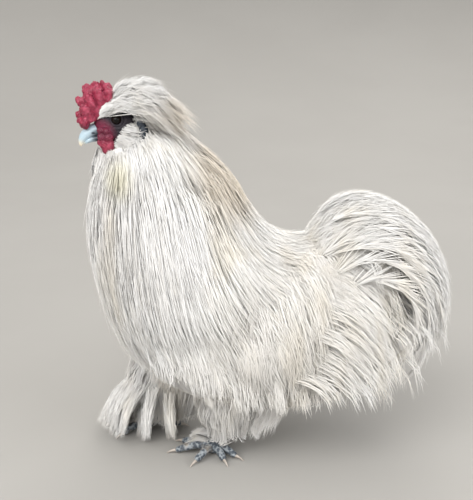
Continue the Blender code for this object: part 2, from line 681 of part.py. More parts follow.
def horn(name, root, tip, half_wide, half_tall, finish, grow=0.0):
    """Half of a bill: it leaves its root forwards and bends down to its tip."""
    root, tip = np.array(root, float), np.array(tip, float)
    s = np.linspace(0, 1, 6)
    path = root + (tip - root) * np.stack([np.sin(s * math.pi / 2), s, 1 - np.cos(s * math.pi / 2)], -1)
    size = np.sqrt(np.clip(1 - 0.94 * s, 0, 1))
    return tube(name, path, half_wide * size + grow, finish, sides=8, flat=half_tall / half_wide, ends=(0.0, 0.6))


def make_beak():
    upper = horn("beak_upper", BEAK_ROOT, BEAK_TIP, BEAK_HALF_WIDE, BEAK_HALF_TALL, BEAK_BLUE)
    nostrils = [egg("n", mirrored(NOSTRIL, side), *NOSTRIL_HALF, BEAK_BLUE, rings=3, sides=8) for side in (-1, 1)]
    boolean(upper, [head_room(), *nostrils], "DIFFERENCE")
    lower = horn("beak_lower", JAW_ROOT, JAW_TIP, JAW_HALF_WIDE, JAW_HALF_TALL, BEAK_BLUE)
    above = horn("a", BEAK_ROOT, BEAK_TIP, BEAK_HALF_WIDE, BEAK_HALF_TALL, BEAK_BLUE, GAP)
    boolean(lower, [head_room(), above], "DIFFERENCE")
    return keep_largest(upper), keep_largest(lower)


def comb_lobes(grow=0.0):
    """The comb's lobes: three across at each place along its root, the middle one the tallest."""
    low, high = np.array(COMB_ROOT_LOW), np.array(COMB_ROOT_HIGH)
    lobes = []
    for n, (x, z) in enumerate(COMB_TOPS):
        root = low + (high - low) * n / (len(COMB_TOPS) - 1)
        for across in (-1, 0, 1):
            top = np.array([x, across * COMB_HALF_WIDE, z]) + abs(across) * np.array([0.002, 0, -0.006])
            start = root + (0, across * COMB_HALF_WIDE * 0.45, 0)
            s = np.array([0, 0.55, 0.85])[:, None]
            path = start + (top - start) * s
            swell = COMB_LOBE * np.array([0.80, 1.05, 0.95])
            lobes.append(tube("lobe", path, swell + grow, COMB_RED, sides=6, up=(0, 1, 0), ends=(0.6, 0.7)))
    return lobes


def make_comb():
    lobes = comb_lobes()
    comb = lobes[0]
    comb.name = "comb"
    boolean(comb, lobes[1:], "UNION")
    beak = horn("b", BEAK_ROOT, BEAK_TIP, BEAK_HALF_WIDE, BEAK_HALF_TALL, BEAK_BLUE, GAP)
    return keep_largest(boolean(comb, [head_room(), beak], "DIFFERENCE"))


def ear_lobe(name, side, grow=0.0):
    return egg(name, mirrored(LOBE_PLACE, side), 0.0045, 0.0060, 0.0070, BARE_FACE, grow=grow, rings=7, sides=12)


def crest_core(name, grow=0.0):
    return egg(name, CREST["centre"], CREST["long"], CREST["wide"], CREST["tall"], PLUMAGE,
               pitch=CREST_PITCH, grow=grow, rings=6, sides=14)


def make_crest():
    draw = np.random.default_rng(3)
    core = crest_core("crest")
    # Rows over the crown: fore-and-aft place of the root, how many across, length, and lift at the root.
    rows = ((-0.108, 2, 0.028, 1.8), (-0.101, 4, 0.032, 1.3), (-0.089, 5, 0.038, 0.8), (-0.075, 5, 0.034, 0.3))
    paths = []
    for x, count, length, lift in rows:
        for across in np.linspace(-1, 1, count):
            root = np.array([x + 0.004 * abs(across), across * 0.013, 0.331 - 0.45 * (x + 0.095) - 0.009 * across**2])
            first = (0.1 - 0.2 * lift, across * 0.9, lift)
            last = (0.9, across * 0.75, -0.28 - 0.35 * abs(across))
            path = bent_path(root - unit(np.array(first)) * 0.004, first, last, length * draw.uniform(0.9, 1.1))
            out = np.tile(unit(np.array([0.25, across * 0.9, 1.0])), (len(path), 1))
            paths.append((path, out, 0.0088 * draw.uniform(0.9, 1.1), 0.0032))
    boolean(core, [locks_along(paths)], "UNION")
    away = [head_room(), neck_room(), *comb_lobes(GAP)]
    for side in (1, -1):
        away.append(egg("e", mirrored(EYE_PLACE, side), 0.009, 0.009, 0.0068, EYE_BLACK, rings=7, sides=12))
        away.append(ear_lobe("l", side, GAP))
        away.append(muff_zone("m", side, GAP))
    return keep_largest(boolean(core, away, "DIFFERENCE"))


def muff_zone(name, side, grow):
    """The room of one cheek's muff: a block beside and below the ear, under the crest."""
    low = np.array([-0.1140, 0.0040, 0.2700]) - grow
    high = np.array([-0.0600, 0.0500, MUFF_TOP]) + grow
    return box(name, low if side > 0 else low * (1, 0, 1) + (0, -high[1], 0),
               high if side > 0 else high * (1, 0, 1) + (0, -low[1], 0))


def make_muff(side, name):
    draw = np.random.default_rng(21)
    core = egg("muff_" + name, mirrored(MUFF["centre"], side), MUFF["long"], MUFF["wide"], MUFF["tall"],
               PLUMAGE, rings=6, sides=12)
    paths = []
    for forward in np.linspace(-1, 1, 3):
        for drop in (0.0, 1.0):
            root = mirrored((-0.0950 - forward * 0.0085, 0.0150, 0.3050 - drop * 0.009), side)
            first = (-forward * 0.5, side * 1.0, 0.1 - 0.4 * drop)
            last = (0.50 - forward * 0.35, side * 0.35, -0.9)
            path = bent_path(root, first, last, (0.024 + 0.003 * drop) * draw.uniform(0.9, 1.1))
            out = np.tile(np.array([0.0, side * 1.0, 0.25]), (len(path), 1))
            paths.append((path, out, 0.0082 * draw.uniform(0.9, 1.1), 0.0028))
    boolean(core, [locks_along(paths)], "UNION")
    away = [head_room(), neck_room(), ear_lobe("l", side, GAP), wattle_egg("w", side, GAP)]
    away.append(egg("e", mirrored(EYE_PLACE, side), 0.009, 0.009, 0.0068, EYE_BLACK, rings=7, sides=12))
    away.append(box("above", (-0.2, -0.1, MUFF_TOP), (0.0, 0.1, 0.4)))
    away.append(box("across", (-0.2, min(-side * 0.1, side * 0.004), 0.2), (0.0, max(-side * 0.1, side * 0.004), 0.4)))
    return keep_largest(boolean(core, away, "DIFFERENCE"))


def wattle_egg(name, side, grow=0.0):
    return egg(name, mirrored(WATTLE["centre"], side), WATTLE["long"], WATTLE["wide"],
               WATTLE["tall"], COMB_RED, grow=grow, rings=6, sides=10)


def make_face_trimmings(side, name):
    eye = eyeball("eye_" + name, side)
    jaw = horn("j", JAW_ROOT, JAW_TIP, JAW_HALF_WIDE, JAW_HALF_TALL, BEAK_BLUE, GAP)
    keep_largest(boolean(wattle_egg("wattle_" + name, side), [head_room(), neck_room(), jaw], "DIFFERENCE"))
    keep_largest(boolean(ear_lobe("earlobe_" + name, side), [head_room(), neck_room()], "DIFFERENCE"))
    return eye


def make_wing(side, name):
    """Flight vanes fanned from the shoulder, lying on the torso's side, under a row of coverts."""
    draw = np.random.default_rng(17)
    paths = []
    # Each fan: how many vanes, its first and last root (u, degrees), tip (u, degrees), half width and height.
    fans = (
        (5, (5.15, 104), (5.80, 112), (6.00, 68), (7.50, 90), 0.0112, 0.70),
        (2, (5.20, 109), (5.50, 113), (5.95, 90), (6.90, 101), 0.0160, 0.86),
    )
    for count, first_root, last_root, first_tip, last_tip, wide, top in fans:
        for f in np.linspace(0, 1, count):
            root = np.array(first_root) + (np.array(last_root) - first_root) * f
            tip = np.array(first_tip) + (np.array(last_tip) - first_tip) * f
            s = np.linspace(0, 1, 9)
            u = root[0] + (tip[0] - root[0]) * s**1.15
            v = side * np.radians(root[1] + (tip[1] - root[1]) * s)
            h = top + 0.02 * draw.uniform(-1, 1) + 0.05 * np.sin(math.pi * s)
            path = body_point(u, v, h)
            out = unit(body_point(u, v, h + 0.2) - path)
            paths.append((path, out, wide * draw.uniform(0.95, 1.1), 0.0022))
    shoulder = body_point(np.array([5.2, 5.9]), side * math.radians(108), np.array([0.74, 0.74]))
    core = egg("wing_" + name, shoulder.mean(axis=0), 0.016, 0.005, 0.010, PLUMAGE, rings=6, sides=12)
    boolean(core, [locks_along(paths)], "UNION")
    inside = body_length("inside", NECK_END, 9.0, CAPE_FLOOR, grow=GAP * 1.5, stations=14, trim=False)
    cape = shell_patch("cape", (NECK_END, CAPE_END + 0.03), None, (CAPE_FLOOR - 0.05, 1.5))
    return keep_largest(boolean(core, [inside, cape], "DIFFERENCE"))


def thigh_room(name, side, grow):
    """The room that the thigh and its feathers take, for the torso's locks to stay out of."""
    shell = thigh_shell(side)
    t = np.array([-0.03, 0.13, 0.14, 0.32, 0.55, 0.78, 1.0])[:, None]
    a = np.linspace(0, 2 * math.pi, 14, endpoint=False)[None, :]
    rings = shell(t, a, np.where(t < 0.135, 0.12, 1.0) + grow)
    return skin_over(name, rings, rings[0].mean(axis=0) + (0, 0, 0.013), rings[-1].mean(axis=0), PLUMAGE)


def thigh_shell(side):
    """The thigh as a shell round the leg's line: t from hip to ankle, a round it, h from flesh to tips."""
    hip, low = np.array(HIP[side]), np.array(THIGH_LOW[side])
    inner, outer = THIGH_RADII[side]
    stations = np.linspace(0, 1, 6)

    def point(t, a, h):
        t, a, h = np.broadcast_arrays(np.asarray(t, float), a, h)
        radius = np.interp(t, stations, inner) * (1 - h) + np.interp(t, stations, outer) * h
        ring = np.stack([np.cos(a) + THIGH_REAR[side] * np.maximum(np.cos(a), 0), np.sin(a) * 0.92, 0 * a], -1)
        return hip + (low - hip) * t[..., None] + ring * radius[..., None]

    return point


def make_thigh(side, name):
    draw = np.random.default_rng(31)
    shell = thigh_shell(side)
    paths = []
    for row, (t0, t1, count, top) in enumerate(((0.16, 0.88, 6, 0.98), (0.44, 0.99, 4, 0.66))):
        for n in range(count):
            a = 2 * math.pi * (n + 0.5 * row) / count + draw.uniform(-0.1, 0.1)
            length = abs(HIP[side][2] - THIGH_LOW[side][2]) * (t1 - t0) * 1.04 * draw.uniform(0.94, 1.04)
            path, out = shell_path(shell, (t0, a), lambda t, a, at, aa: at, length, (0.0, top * 0.9, top))
            paths.append((path, out, 0.0150 - 0.003 * row, 0.0030))
    t = np.linspace(0, 0.93, 7)[:, None]
    a = np.linspace(0, 2 * math.pi, 12, endpoint=False)[None, :]
    rings = shell(t, a, 0.12)
    core = skin_over("thigh_" + name, rings, rings[0].mean(axis=0) + (0, 0, 0.01), rings[-1].mean(axis=0), PLUMAGE)
    boolean(core, [locks_along(paths)], "UNION")
    away = [torso_core_room(), shank_bar("s", side, GAP), box("f", (-0.3, -0.3, -0.1), (0.3, 0.3, FOOT_TOP + GAP))]
    return keep_largest(boolean(core, away, "DIFFERENCE"))


def shank_bar(name, side, grow=0.0):
    top, ankle = np.array(HOCK[side]), np.array(ANKLE[side])
    way = unit(top - ankle)
    path = ankle + (top + way * grow - ankle) * np.linspace(0, 1, 5)[:, None]
    if grow:
        path[0] = path[0] - way * 0.004
    return tube(name, path, SHANK_RADIUS + grow, FOOT_SLATE, up=(1, 0, 0), sides=8)


def make_shank(side, name):
    shank = shank_bar("shank_" + name, side)
    floor = box("f", (-0.3, -0.3, -0.1), (0.3, 0.3, ANKLE[side][2] + GAP))
    return keep_largest(boolean(shank, [floor], "DIFFERENCE"))


def toe_path(side, end):
    start = np.array([ANKLE[side][0], ANKLE[side][1], 0.0085])
    finish = np.array([end[0], end[1], TOE_RADIUS * 0.78 - 0.0006])
    s = TOE_STATIONS[:, None]
    path = start + (finish - start) * s
    path[:, 2] += 0.0022 * np.sin(math.pi * s[:, 0])
    return path


def boot_locks(side):
    """The stiff feathers that grow from the ankle over the outer toes and end just over the floor."""
    ankle = np.array(ANKLE[side]) * (1, 1, 0) + (0, 0, 0.0095)
    paths = []
    for degrees, length in BOOTS[side]:
        turn = math.radians(degrees)
        way = np.array([-math.cos(turn), side * math.sin(turn), 0.0])
        path = bent_path(ankle + way * 0.003, way + (0, 0, 0.10), way + (0, 0, -0.28), length)
        paths.append((path, np.tile([0, 0, 1.0], (len(path), 1)), 0.0056, 0.0022))
    return locks_along(paths)


def make_foot(side, name):
    ankle = np.array(ANKLE[side])
    foot = egg("foot_" + name, ankle * (1, 1, 0) + (0, 0, 0.0065), 0.0088, 0.0082, 0.0070, FOOT_SLATE,
               rings=6, sides=12)
    pieces = [tube("a", [ankle * (1, 1, 0) + (0, 0, 0.005), ankle], SHANK_RADIUS, FOOT_SLATE, up=(1, 0, 0), sides=8)]
    for end in TOE_ENDS[side].values():
        pieces.append(toe_bar(side, end))
    pieces.append(boot_locks(side))
    boolean(foot, pieces, "UNION")
    away = [box("f", (-0.3, -0.3, -0.1), (0.3, 0.3, 0.0)), box("t", (-0.3, -0.3, FOOT_TOP), (0.3, 0.3, 0.1))]
    away += [claw_horn("c", side, end, GAP) for end in TOE_ENDS[side].values()]
    return keep_largest(boolean(foot, away, "DIFFERENCE"))


def toe_bar(side, end, grow=0.0):
    """One toe as a bar along its path; grow also lengthens it, to cut the claw's root."""
    path = toe_path(side, end)
    path[-1] = path[-1] + unit(path[-1] - path[-2]) * grow
    return tube("toe", path, TOE_RADIUS * TOE_SWELL + grow, FOOT_SLATE, sides=6)


def claw_horn(name, side, end, grow=0.0):
    path = toe_path(side, end)
    level = unit((path[-1] - path[-2]) * (1, 1, 0))
    s = np.array([0, 0.3, 0.65, 0.92])[:, None]
    radius = TOE_RADIUS * 0.60 * np.array([1.0, 0.94, 0.66, 0.30])
    back = 0.002 if not grow else -GAP
    curve = path[-1] + level * ((CLAW_LONG + back) * s - back)
    curve = curve + np.array([0, 0, 1.0]) * (0.0012 * np.sin(math.pi * s) - 0.0012 * s)
    curve[:, 2] = np.interp(s[:, 0], (0, 0.3, 1), (curve[0, 2], 0.0023, 0.0003))
    return tube(name, curve, radius + grow, CLAW_HORN, sides=6, ends=(0.0, 1.6))


def make_claws(side, name):
    for toe, end in TOE_ENDS[side].items():
        claw = claw_horn(f"claw_{toe}_{name}", side, end)
        under = box("f", (-0.3, -0.3, -0.1), (0.3, 0.3, 0.0))
        keep_largest(boolean(claw, [toe_bar(side, end, GAP), under], "DIFFERENCE"))


def main():
    clear_scene()
    make_torso()
    make_neck()
    make_tail()
    make_head()
    make_beak()
    make_comb()
    make_crest()
    for side, name in ((-1, "left"), (1, "right")):
        make_face_trimmings(side, name)
        make_muff(side, name)
        make_wing(side, name)
        make_thigh(side, name)
        make_shank(side, name)
        make_foot(side, name)
        make_claws(side, name)
    stance = bpy.data.objects.new("stance", None)
    bpy.context.scene.collection.objects.link(stance)
    stance.location = (-MID_LENGTH, 0.0, 0.0)
    for obj in bpy.data.objects:
        if obj.type == "MESH":
            obj.parent = stance


main()
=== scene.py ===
"""A white silkie rooster in mid-step, dressed in skin, plumage, comb, bill and scaled feet.

The bird faces -X, its left side is -Y and the floor is z = 0, in metres. Two nested shells carry
the plumage of the body: a skin surface and a coat surface share the coordinates u (along the
bird) and v (round it), and h runs from the skin (0) to the feather tips (1). The tail, the crest
and the cheeks use shells of the same kind made of two ellipsoids, and each leg one of two cones.
"""

import math

import bmesh
import bpy
import numpy as np
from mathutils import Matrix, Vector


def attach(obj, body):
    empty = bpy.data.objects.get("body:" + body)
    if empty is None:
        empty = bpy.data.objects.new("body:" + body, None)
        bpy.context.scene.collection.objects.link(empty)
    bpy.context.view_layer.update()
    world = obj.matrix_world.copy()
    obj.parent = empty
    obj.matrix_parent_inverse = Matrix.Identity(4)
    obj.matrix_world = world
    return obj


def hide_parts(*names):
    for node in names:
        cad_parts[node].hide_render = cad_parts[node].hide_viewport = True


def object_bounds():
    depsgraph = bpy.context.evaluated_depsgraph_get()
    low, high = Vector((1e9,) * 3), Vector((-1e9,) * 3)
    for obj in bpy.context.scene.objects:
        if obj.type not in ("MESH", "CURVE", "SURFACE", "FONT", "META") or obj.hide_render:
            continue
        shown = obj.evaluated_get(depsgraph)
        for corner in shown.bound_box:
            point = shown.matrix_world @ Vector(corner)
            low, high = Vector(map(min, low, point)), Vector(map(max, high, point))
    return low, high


bl_info = {
    "name": "Silkie Rooster",
    "version": (1, 0, 0),
    "blender": (4, 5, 0),
    "location": "View3D > Sidebar > Silkie",
    "description": "Builds the skin, plumage, comb, bill, eyes and feet of a silkie rooster",
    "category": "Object",
}

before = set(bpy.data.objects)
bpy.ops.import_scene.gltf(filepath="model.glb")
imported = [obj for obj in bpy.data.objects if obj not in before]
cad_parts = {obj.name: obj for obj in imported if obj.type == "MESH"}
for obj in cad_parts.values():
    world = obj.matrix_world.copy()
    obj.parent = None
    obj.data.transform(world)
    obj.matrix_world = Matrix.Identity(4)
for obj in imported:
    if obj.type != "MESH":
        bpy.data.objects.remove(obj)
CAD_BOX = [list(corner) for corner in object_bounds()]

# The tables below are drawn about the bird's own legs; this puts the middle of its length over the origin.
MID_LENGTH = 0.0340
FULL_TURN = 2 * math.pi
SIDES = ((-1, "left"), (1, "right"))

# Body stations, jaw to tail root: throat or belly point (x, z), nape or back point (x, z), half width.
SKIN = np.array([
    (-0.113, 0.288, -0.086, 0.304, 0.016),
    (-0.113, 0.260, -0.068, 0.280, 0.021),
    (-0.112, 0.226, -0.046, 0.252, 0.030),
    (-0.110, 0.188, -0.022, 0.224, 0.045),
    (-0.104, 0.150, 0.000, 0.206, 0.055),
    (-0.088, 0.116, 0.018, 0.198, 0.058),
    (-0.060, 0.098, 0.032, 0.194, 0.054),
    (-0.026, 0.104, 0.044, 0.192, 0.042),
    (0.008, 0.124, 0.052, 0.190, 0.028),
    (0.036, 0.148, 0.060, 0.187, 0.016),
])
COAT = np.array([
    (-0.120, 0.286, -0.064, 0.320, 0.030),
    (-0.133, 0.250, -0.032, 0.292, 0.050),
    (-0.136, 0.212, -0.008, 0.270, 0.064),
    (-0.131, 0.175, 0.010, 0.240, 0.076),
    (-0.120, 0.135, 0.028, 0.216, 0.086),
    (-0.100, 0.095, 0.048, 0.205, 0.092),
    (-0.055, 0.062, 0.062, 0.204, 0.096),
    (0.005, 0.042, 0.074, 0.206, 0.094),
    (0.060, 0.038, 0.086, 0.208, 0.084),
    (0.100, 0.045, 0.098, 0.210, 0.068),
])
BODY_STATIONS = len(SKIN) - 1

# Ellipsoids between which feathers stand: centre, reach towards the pole, behind it and to each side.
TAIL_INNER = ((0.094, 0.0, 0.180), 0.024, 0.022, 0.018)
TAIL_OUTER = ((0.125, 0.0, 0.140), 0.106, 0.084, 0.066)
TAIL_LEAN = math.radians(110)
TAIL_START = math.radians(136)
TAIL_MIDDLE = np.array([0.122, 0.0, 0.138])
CREST_INNER = ((-0.102, 0.0, 0.312), 0.021, 0.018, 0.0145)
CREST_OUTER = ((-0.086, 0.0, 0.3235), 0.032, 0.029, 0.030)
CREST_LEAN = math.radians(160)
CHEEK_INNER = ((-0.100, 0.0, 0.304), 0.020, 0.016, 0.0135)
CHEEK_OUTER = ((-0.094, 0.0, 0.296), 0.026, 0.026, 0.030)
CHEEK_LEAN = math.radians(200)

SKULL = ((-0.103, 0.0, 0.311), 0.0235, 0.0150, 0.0170)
EYE_PLACE = np.array([-0.1064, 0.0112, 0.3168])
EYE_RADIUS = 0.0046
EAR_PLACE = np.array([-0.0836, 0.0190, 0.3060])
BILL_ROOT = np.array([-0.1215, 0.0, 0.3068])
BILL_TIP = np.array([-0.1380, 0.0, 0.2925])

HIP = {-1: (-0.016, -0.037, 0.100), 1: (-0.064, 0.034, 0.102)}
ANKLE_TOP = {-1: (-0.015, -0.033, 0.0180), 1: (-0.076, 0.034, 0.0200)}
LEG_INNER = {-1: (0.022, 0.021, 0.018, 0.014, 0.011, 0.009), 1: (0.024, 0.023, 0.020, 0.015, 0.012, 0.009)}
LEG_OUTER = {-1: (0.026, 0.028, 0.030, 0.028, 0.023, 0.017), 1: (0.028, 0.031, 0.034, 0.036, 0.034, 0.027)}
LEG_REAR = {-1: 0.35, 1: 0.50}
HOCK = {-1: (-0.006, -0.035, 0.050), 1: (-0.068, 0.036, 0.050)}
ANKLE = {-1: (-0.026, -0.030, 0.0150), 1: (-0.083, 0.033, 0.0150)}
TOE_ENDS = {
    -1: {"inner": (-0.054, -0.008), "middle": (-0.062, -0.026), "outer": (-0.045, -0.049),
         "hind": (-0.007, -0.045), "fifth": (-0.019, -0.051)},
    1: {"inner": (-0.111, 0.015), "middle": (-0.120, 0.037), "outer": (-0.104, 0.055),
        "hind": (-0.053, 0.027), "fifth": (-0.059, 0.043)},
}


def unit(ways):
    """The same directions, one long."""
    return ways / np.maximum(np.linalg.norm(ways, axis=-1, keepdims=True), 1e-12)


def vectors(x, y, z):
    """Points or directions from their three parts, each an array or one number for all."""
    return np.stack(np.broadcast_arrays(x, y, z), -1)


def round_turn(columns):
    """Angles spread evenly round one full turn."""
    return np.linspace(0, FULL_TURN, columns, endpoint=False)


def leaning(angle):
    """A direction in the median plane, so far up from straight behind, and one a quarter turn below it."""
    cosine, sine = math.cos(angle), math.sin(angle)
    return np.array([cosine, 0.0, sine]), np.array([sine, 0.0, -cosine])


def ease(value):
    """A smooth step: 3 x^2 - 2 x^3 of the value held between 0 and 1."""
    x = np.clip(value, 0.0, 1.0)
    return x * x * (3 - 2 * x)


def rows_at(rows, t):
    """A Catmull-Rom curve through the rows of a table, read at t counted in rows."""
    t = np.clip(t, 0.0, len(rows) - 1.0)
    low = np.minimum(t.astype(int), len(rows) - 2)
    f = (t - low)[..., None]
    p1, p2 = rows[low], rows[low + 1]
    p0 = np.where((low > 0)[..., None], rows[np.maximum(low - 1, 0)], 2 * p1 - p2)
    p3 = np.where((low < len(rows) - 2)[..., None], rows[np.minimum(low + 2, len(rows) - 1)], 2 * p2 - p1)
    slope1, slope2 = (p2 - p0) / 2, (p3 - p1) / 2
    return (
        (2 * f**3 - 3 * f**2 + 1) * p1
        + (f**3 - 2 * f**2 + f) * slope1
        + (3 * f**2 - 2 * f**3) * p2
        + (f**3 - f**2) * slope2
    )


def body_shell(u, v, h):
    """Body: middle(u) + reach(u) cos(v) in the median plane and width(u) sin(v) (1 + 0.12 cos(v)) across."""
    u, v, h = np.broadcast_arrays(np.asarray(u, float), v, h)
    row = rows_at(SKIN, u)
    row = row + (rows_at(COAT, u) - row) * h[..., None]
    belly, back, wide = row[..., 0:2], row[..., 2:4], row[..., 4]
    plane = (belly + back) / 2 + (belly - back) / 2 * np.cos(v)[..., None]
    side = wide * np.sin(v) * (1 + 0.12 * np.cos(v))
    return vectors(plane[..., 0], side, plane[..., 1])


def dome_shell(inner, outer, lean, start=None):
    """An ellipsoid shell: centre + tall pole (d.pole) + long rear (d.rear) + wide side (d.side).

    Inner and outer are blended by h. d runs down meridians from a top of their own:
    cos(pi t) top + sin(pi t) (cos(a) behind + sin(a) side).
    """
    pole, rear = leaning(lean)
    top, behind = leaning(lean if start is None else start)
    side = np.array([0.0, 1.0, 0.0])

    def point(t, a, h):
        t, a, h = np.broadcast_arrays(np.asarray(t, float), a, h)
        h = h[..., None]
        centre, tall, long, wide = (
            np.asarray(low, float) * (1 - h) + np.asarray(high, float) * h for low, high in zip(inner, outer)
        )
        across = np.cos(a)[..., None] * behind + np.sin(a)[..., None] * side
        d = np.cos(math.pi * t)[..., None] * top + np.sin(math.pi * t)[..., None] * across
        parts = ((tall, pole), (long, rear), (wide, side))
        return centre + sum(size * (d @ axis)[..., None] * axis for size, axis in parts)

    return point


def leg_shell(side):
    """A leg: rings along the line from hip to ankle, whose radius is read at t and blended by h."""
    hip, low = np.array(HIP[side]), np.array(ANKLE_TOP[side])
    stations = np.linspace(0, 1, len(LEG_INNER[side]))

    def point(t, a, h):
        t, a, h = np.broadcast_arrays(np.asarray(t, float), a, h)
        inner, outer = (np.interp(t, stations, table[side]) for table in (LEG_INNER, LEG_OUTER))
        radius = inner * (1 - h) + outer * h
        ring = vectors(np.cos(a) + LEG_REAR[side] * np.maximum(np.cos(a), 0) * h, np.sin(a) * 0.92, 0.0)
        return hip + (low - hip) * t[..., None] + ring * radius[..., None]

    return point


tail_shell = dome_shell(TAIL_INNER, TAIL_OUTER, TAIL_LEAN, TAIL_START)
crest_shell = dome_shell(CREST_INNER, CREST_OUTER, CREST_LEAN)
cheek_shell = dome_shell(CHEEK_INNER, CHEEK_OUTER, CHEEK_LEAN)


def flow(shell, p, q, lie, length, rise, steps=9):
    """Feather lines over a shell: each step goes along the lie, projected on the shell at height rise(s).

    The move in p and q solves the two normal equations of the shell's tangents, for all lines at once.
    """
    step = 1e-3
    points, outward = [], []
    for n in range(steps + 1):
        h = rise(n / steps)
        here = shell(p, q, h)
        along_p = (shell(p + step, q, h) - here) / step
        along_q = (shell(p, q + step, h) - here) / step
        out = unit(np.cross(along_p, along_q))
        lift = shell(p, q, h + 0.1) - here
        out = out * np.sign(np.sum(out * lift, -1, keepdims=True) + 1e-9)
        points.append(here)
        outward.append(out)
        want = lie(p, q, unit(along_p), unit(along_q))
        want = unit(want - out * np.sum(want * out, -1, keepdims=True)) * (length / steps)[:, None]
        pp, qq = np.sum(along_p**2, -1) + 1e-9, np.sum(along_q**2, -1) + 1e-9
        pq = np.sum(along_p * along_q, -1)
        wp, wq = np.sum(want * along_p, -1), np.sum(want * along_q, -1)
        room = np.maximum(pp * qq - pq**2, 1e-3 * pp * qq)
        p, q = p + (wp * qq - wq * pq) / room, q + (wq * pp - wp * pq) / room
    return np.stack(points, 1), np.stack(outward, 1)


def bent(root, first, last, length, outward, steps=9):
    """Feather lines in the open: the way turns evenly from first to last, and the line is its running sum.

    First, last and outward are given for each feather, or once for all.
    """
    s = (np.arange(steps) + 0.5)[None, :, None] / steps
    first, last, outward = (unit(np.broadcast_to(way, root.shape))[:, None] for way in (first, last, outward))
    ways = unit(first * (1 - s) + last * s) * (length / steps)[:, None, None]
    points = np.concatenate([root[:, None], root[:, None] + np.cumsum(ways, 1)], 1)
    return points, np.broadcast_to(outward, points.shape)


def scatter(shell, low, high, count, draw, h=0.5):
    """Roots spread evenly over a shell: uniform draws in p and q kept in proportion to the area there."""
    p, q = draw.uniform(low[0], high[0], count * 6), draw.uniform(low[1], high[1], count * 6)
    step = 1e-3
    here = shell(p, q, h)
    patch = np.cross(shell(p + step, q, h) - here, shell(p, q + step, h) - here)
    area = np.linalg.norm(patch, axis=-1)
    kept = np.flatnonzero(draw.random(len(p)) < area / area.max())[:count]
    return p[kept], q[kept]


def read_lines(lines, t):
    """Lines (M, S, 3) read at t (M, K, J), straight between their points and beyond their last."""
    last = lines.shape[1] - 1
    low = np.clip((t * last).astype(int), 0, last - 1)
    f = (t * last - low)[..., None]
    rows = np.arange(len(lines))[:, None, None]
    return lines[rows, low] * (1 - f) + lines[rows, low + 1] * f


def shades(count, each, draw):
    """A shade for each strand, of which its feather gives the larger part."""
    return np.repeat(draw.uniform(0, 1, count), each) * 0.6 + draw.uniform(0, 0.4, count * each)


def strand_set(points, outward, roots, wide, draw, tint=None):
    """Strands of M feathers, K each, in one row: points, outward ways, breadths, root places and shades."""
    count, each, stations = points.shape[:3]
    return dict(
        points=points.reshape(-1, stations, 3),
        outward=outward.reshape(-1, stations, 3),
        wide=wide * draw.uniform(0.7, 1.25, count * each),
        root=np.repeat(roots, each, axis=0) + draw.uniform(-0.004, 0.004, (count * each, 2)),
        tint=shades(count, each, draw) if tint is None else tint,
    )


def lock_of(feathers, roots, each, breadth, depth, draw, steps, wide, close, fray, reach=(0.80, 1.04),
            slip=0.16):
    """Strands beside each line: line(s) + a side(s) (1 - close s) + b out(s) (1 - close s) + fray s^2 noise.

    a is within the breadth, b from the depth below the line to half of it above. A strand starts within the
    slip and ends within the reach, both shares of the line. Six in a hundred stray 2.5 times as far.
    """
    lines, outward = feathers
    count = len(lines)
    start, end = draw.uniform(0, slip, (count, each)), draw.uniform(*reach, (count, each))
    k = np.linspace(0, 1, steps + 1)
    t = start[..., None] + (end - start)[..., None] * k
    middle, out = read_lines(lines, t), unit(read_lines(outward, t))
    way = unit(np.gradient(middle, axis=2))
    side = unit(np.cross(out, way))
    a = (draw.uniform(-1, 1, (count, each)) * breadth)[..., None, None]
    b = (draw.uniform(-1, 0.5, (count, each)) * depth)[..., None, None]
    draws_in = (1 - close * k)[:, None]
    long = np.linalg.norm(np.diff(lines, axis=1), axis=-1).sum(1)[:, None, None, None]
    stray = fray * np.where(draw.random((count, each, 1, 1)) < 0.06, 2.5, 1.0)
    swing = np.clip(draw.normal(0, 1, (2, count, each, 1, 1)), -1.6, 1.6) * stray * long * (k**2)[:, None]
    points = middle + side * (a * draws_in + swing[0]) + out * (b * draws_in + 0.6 * swing[1])
    return strand_set(points, out, roots, wide, draw, shades(count, each, draw))


def barbs_of(feathers, roots, each, long, draw, steps, wide, spread, droop):
    """Barbs of loose plumes: each leaves its shaft at r by way + spread side and turns to way + droop down.

    Towards the shaft's tip barbs lie closer to it, and they are longest over its lower half.
    """
    lines, outward = feathers
    count = len(lines)
    r = np.sort(draw.uniform(0.06, 1.0, (count, each)), axis=1)
    t = r[..., None] + np.array([0.0, 0.02])
    pair = read_lines(lines, t)
    root, way = pair[:, :, 0], unit(pair[:, :, 1] - pair[:, :, 0])
    out = unit(read_lines(outward, t)[:, :, 0])
    one = (count, each, 1)
    side = unit(np.cross(out, way)) * draw.choice([-1.0, 1.0], one)
    fan = np.interp(r, (0, 0.8, 1.0), (1.0, 0.75, 0.12))[..., None]
    open_way = way + side * spread * fan * draw.uniform(0.5, 1.3, one)
    begin = unit(open_way + out * draw.normal(-0.03, 0.11, one))
    fall = np.array([0, 0, -1.0]) * droop
    finish = unit(way + fall + side * 0.25 * fan + out * draw.normal(-0.06, 0.10, one))
    size = long * np.interp(r, (0, 0.25, 0.8, 1.0), (0.75, 1.0, 0.85, 0.55))
    size = size * draw.uniform(0.7, 1.15, r.shape)
    s = (np.arange(steps) + 0.5)[:, None] / steps
    ways = unit(begin[:, :, None] * (1 - s) + finish[:, :, None] * s) * (size / steps)[..., None, None]
    points = np.concatenate([root[:, :, None], root[:, :, None] + np.cumsum(ways, 2)], 2)
    return strand_set(points, np.broadcast_to(out[:, :, None], points.shape), roots, wide, draw)


def chosen(strands, kept):
    """The strands that are to be kept."""
    return {key: value[kept] for key, value in strands.items()}


def share(count):
    return count


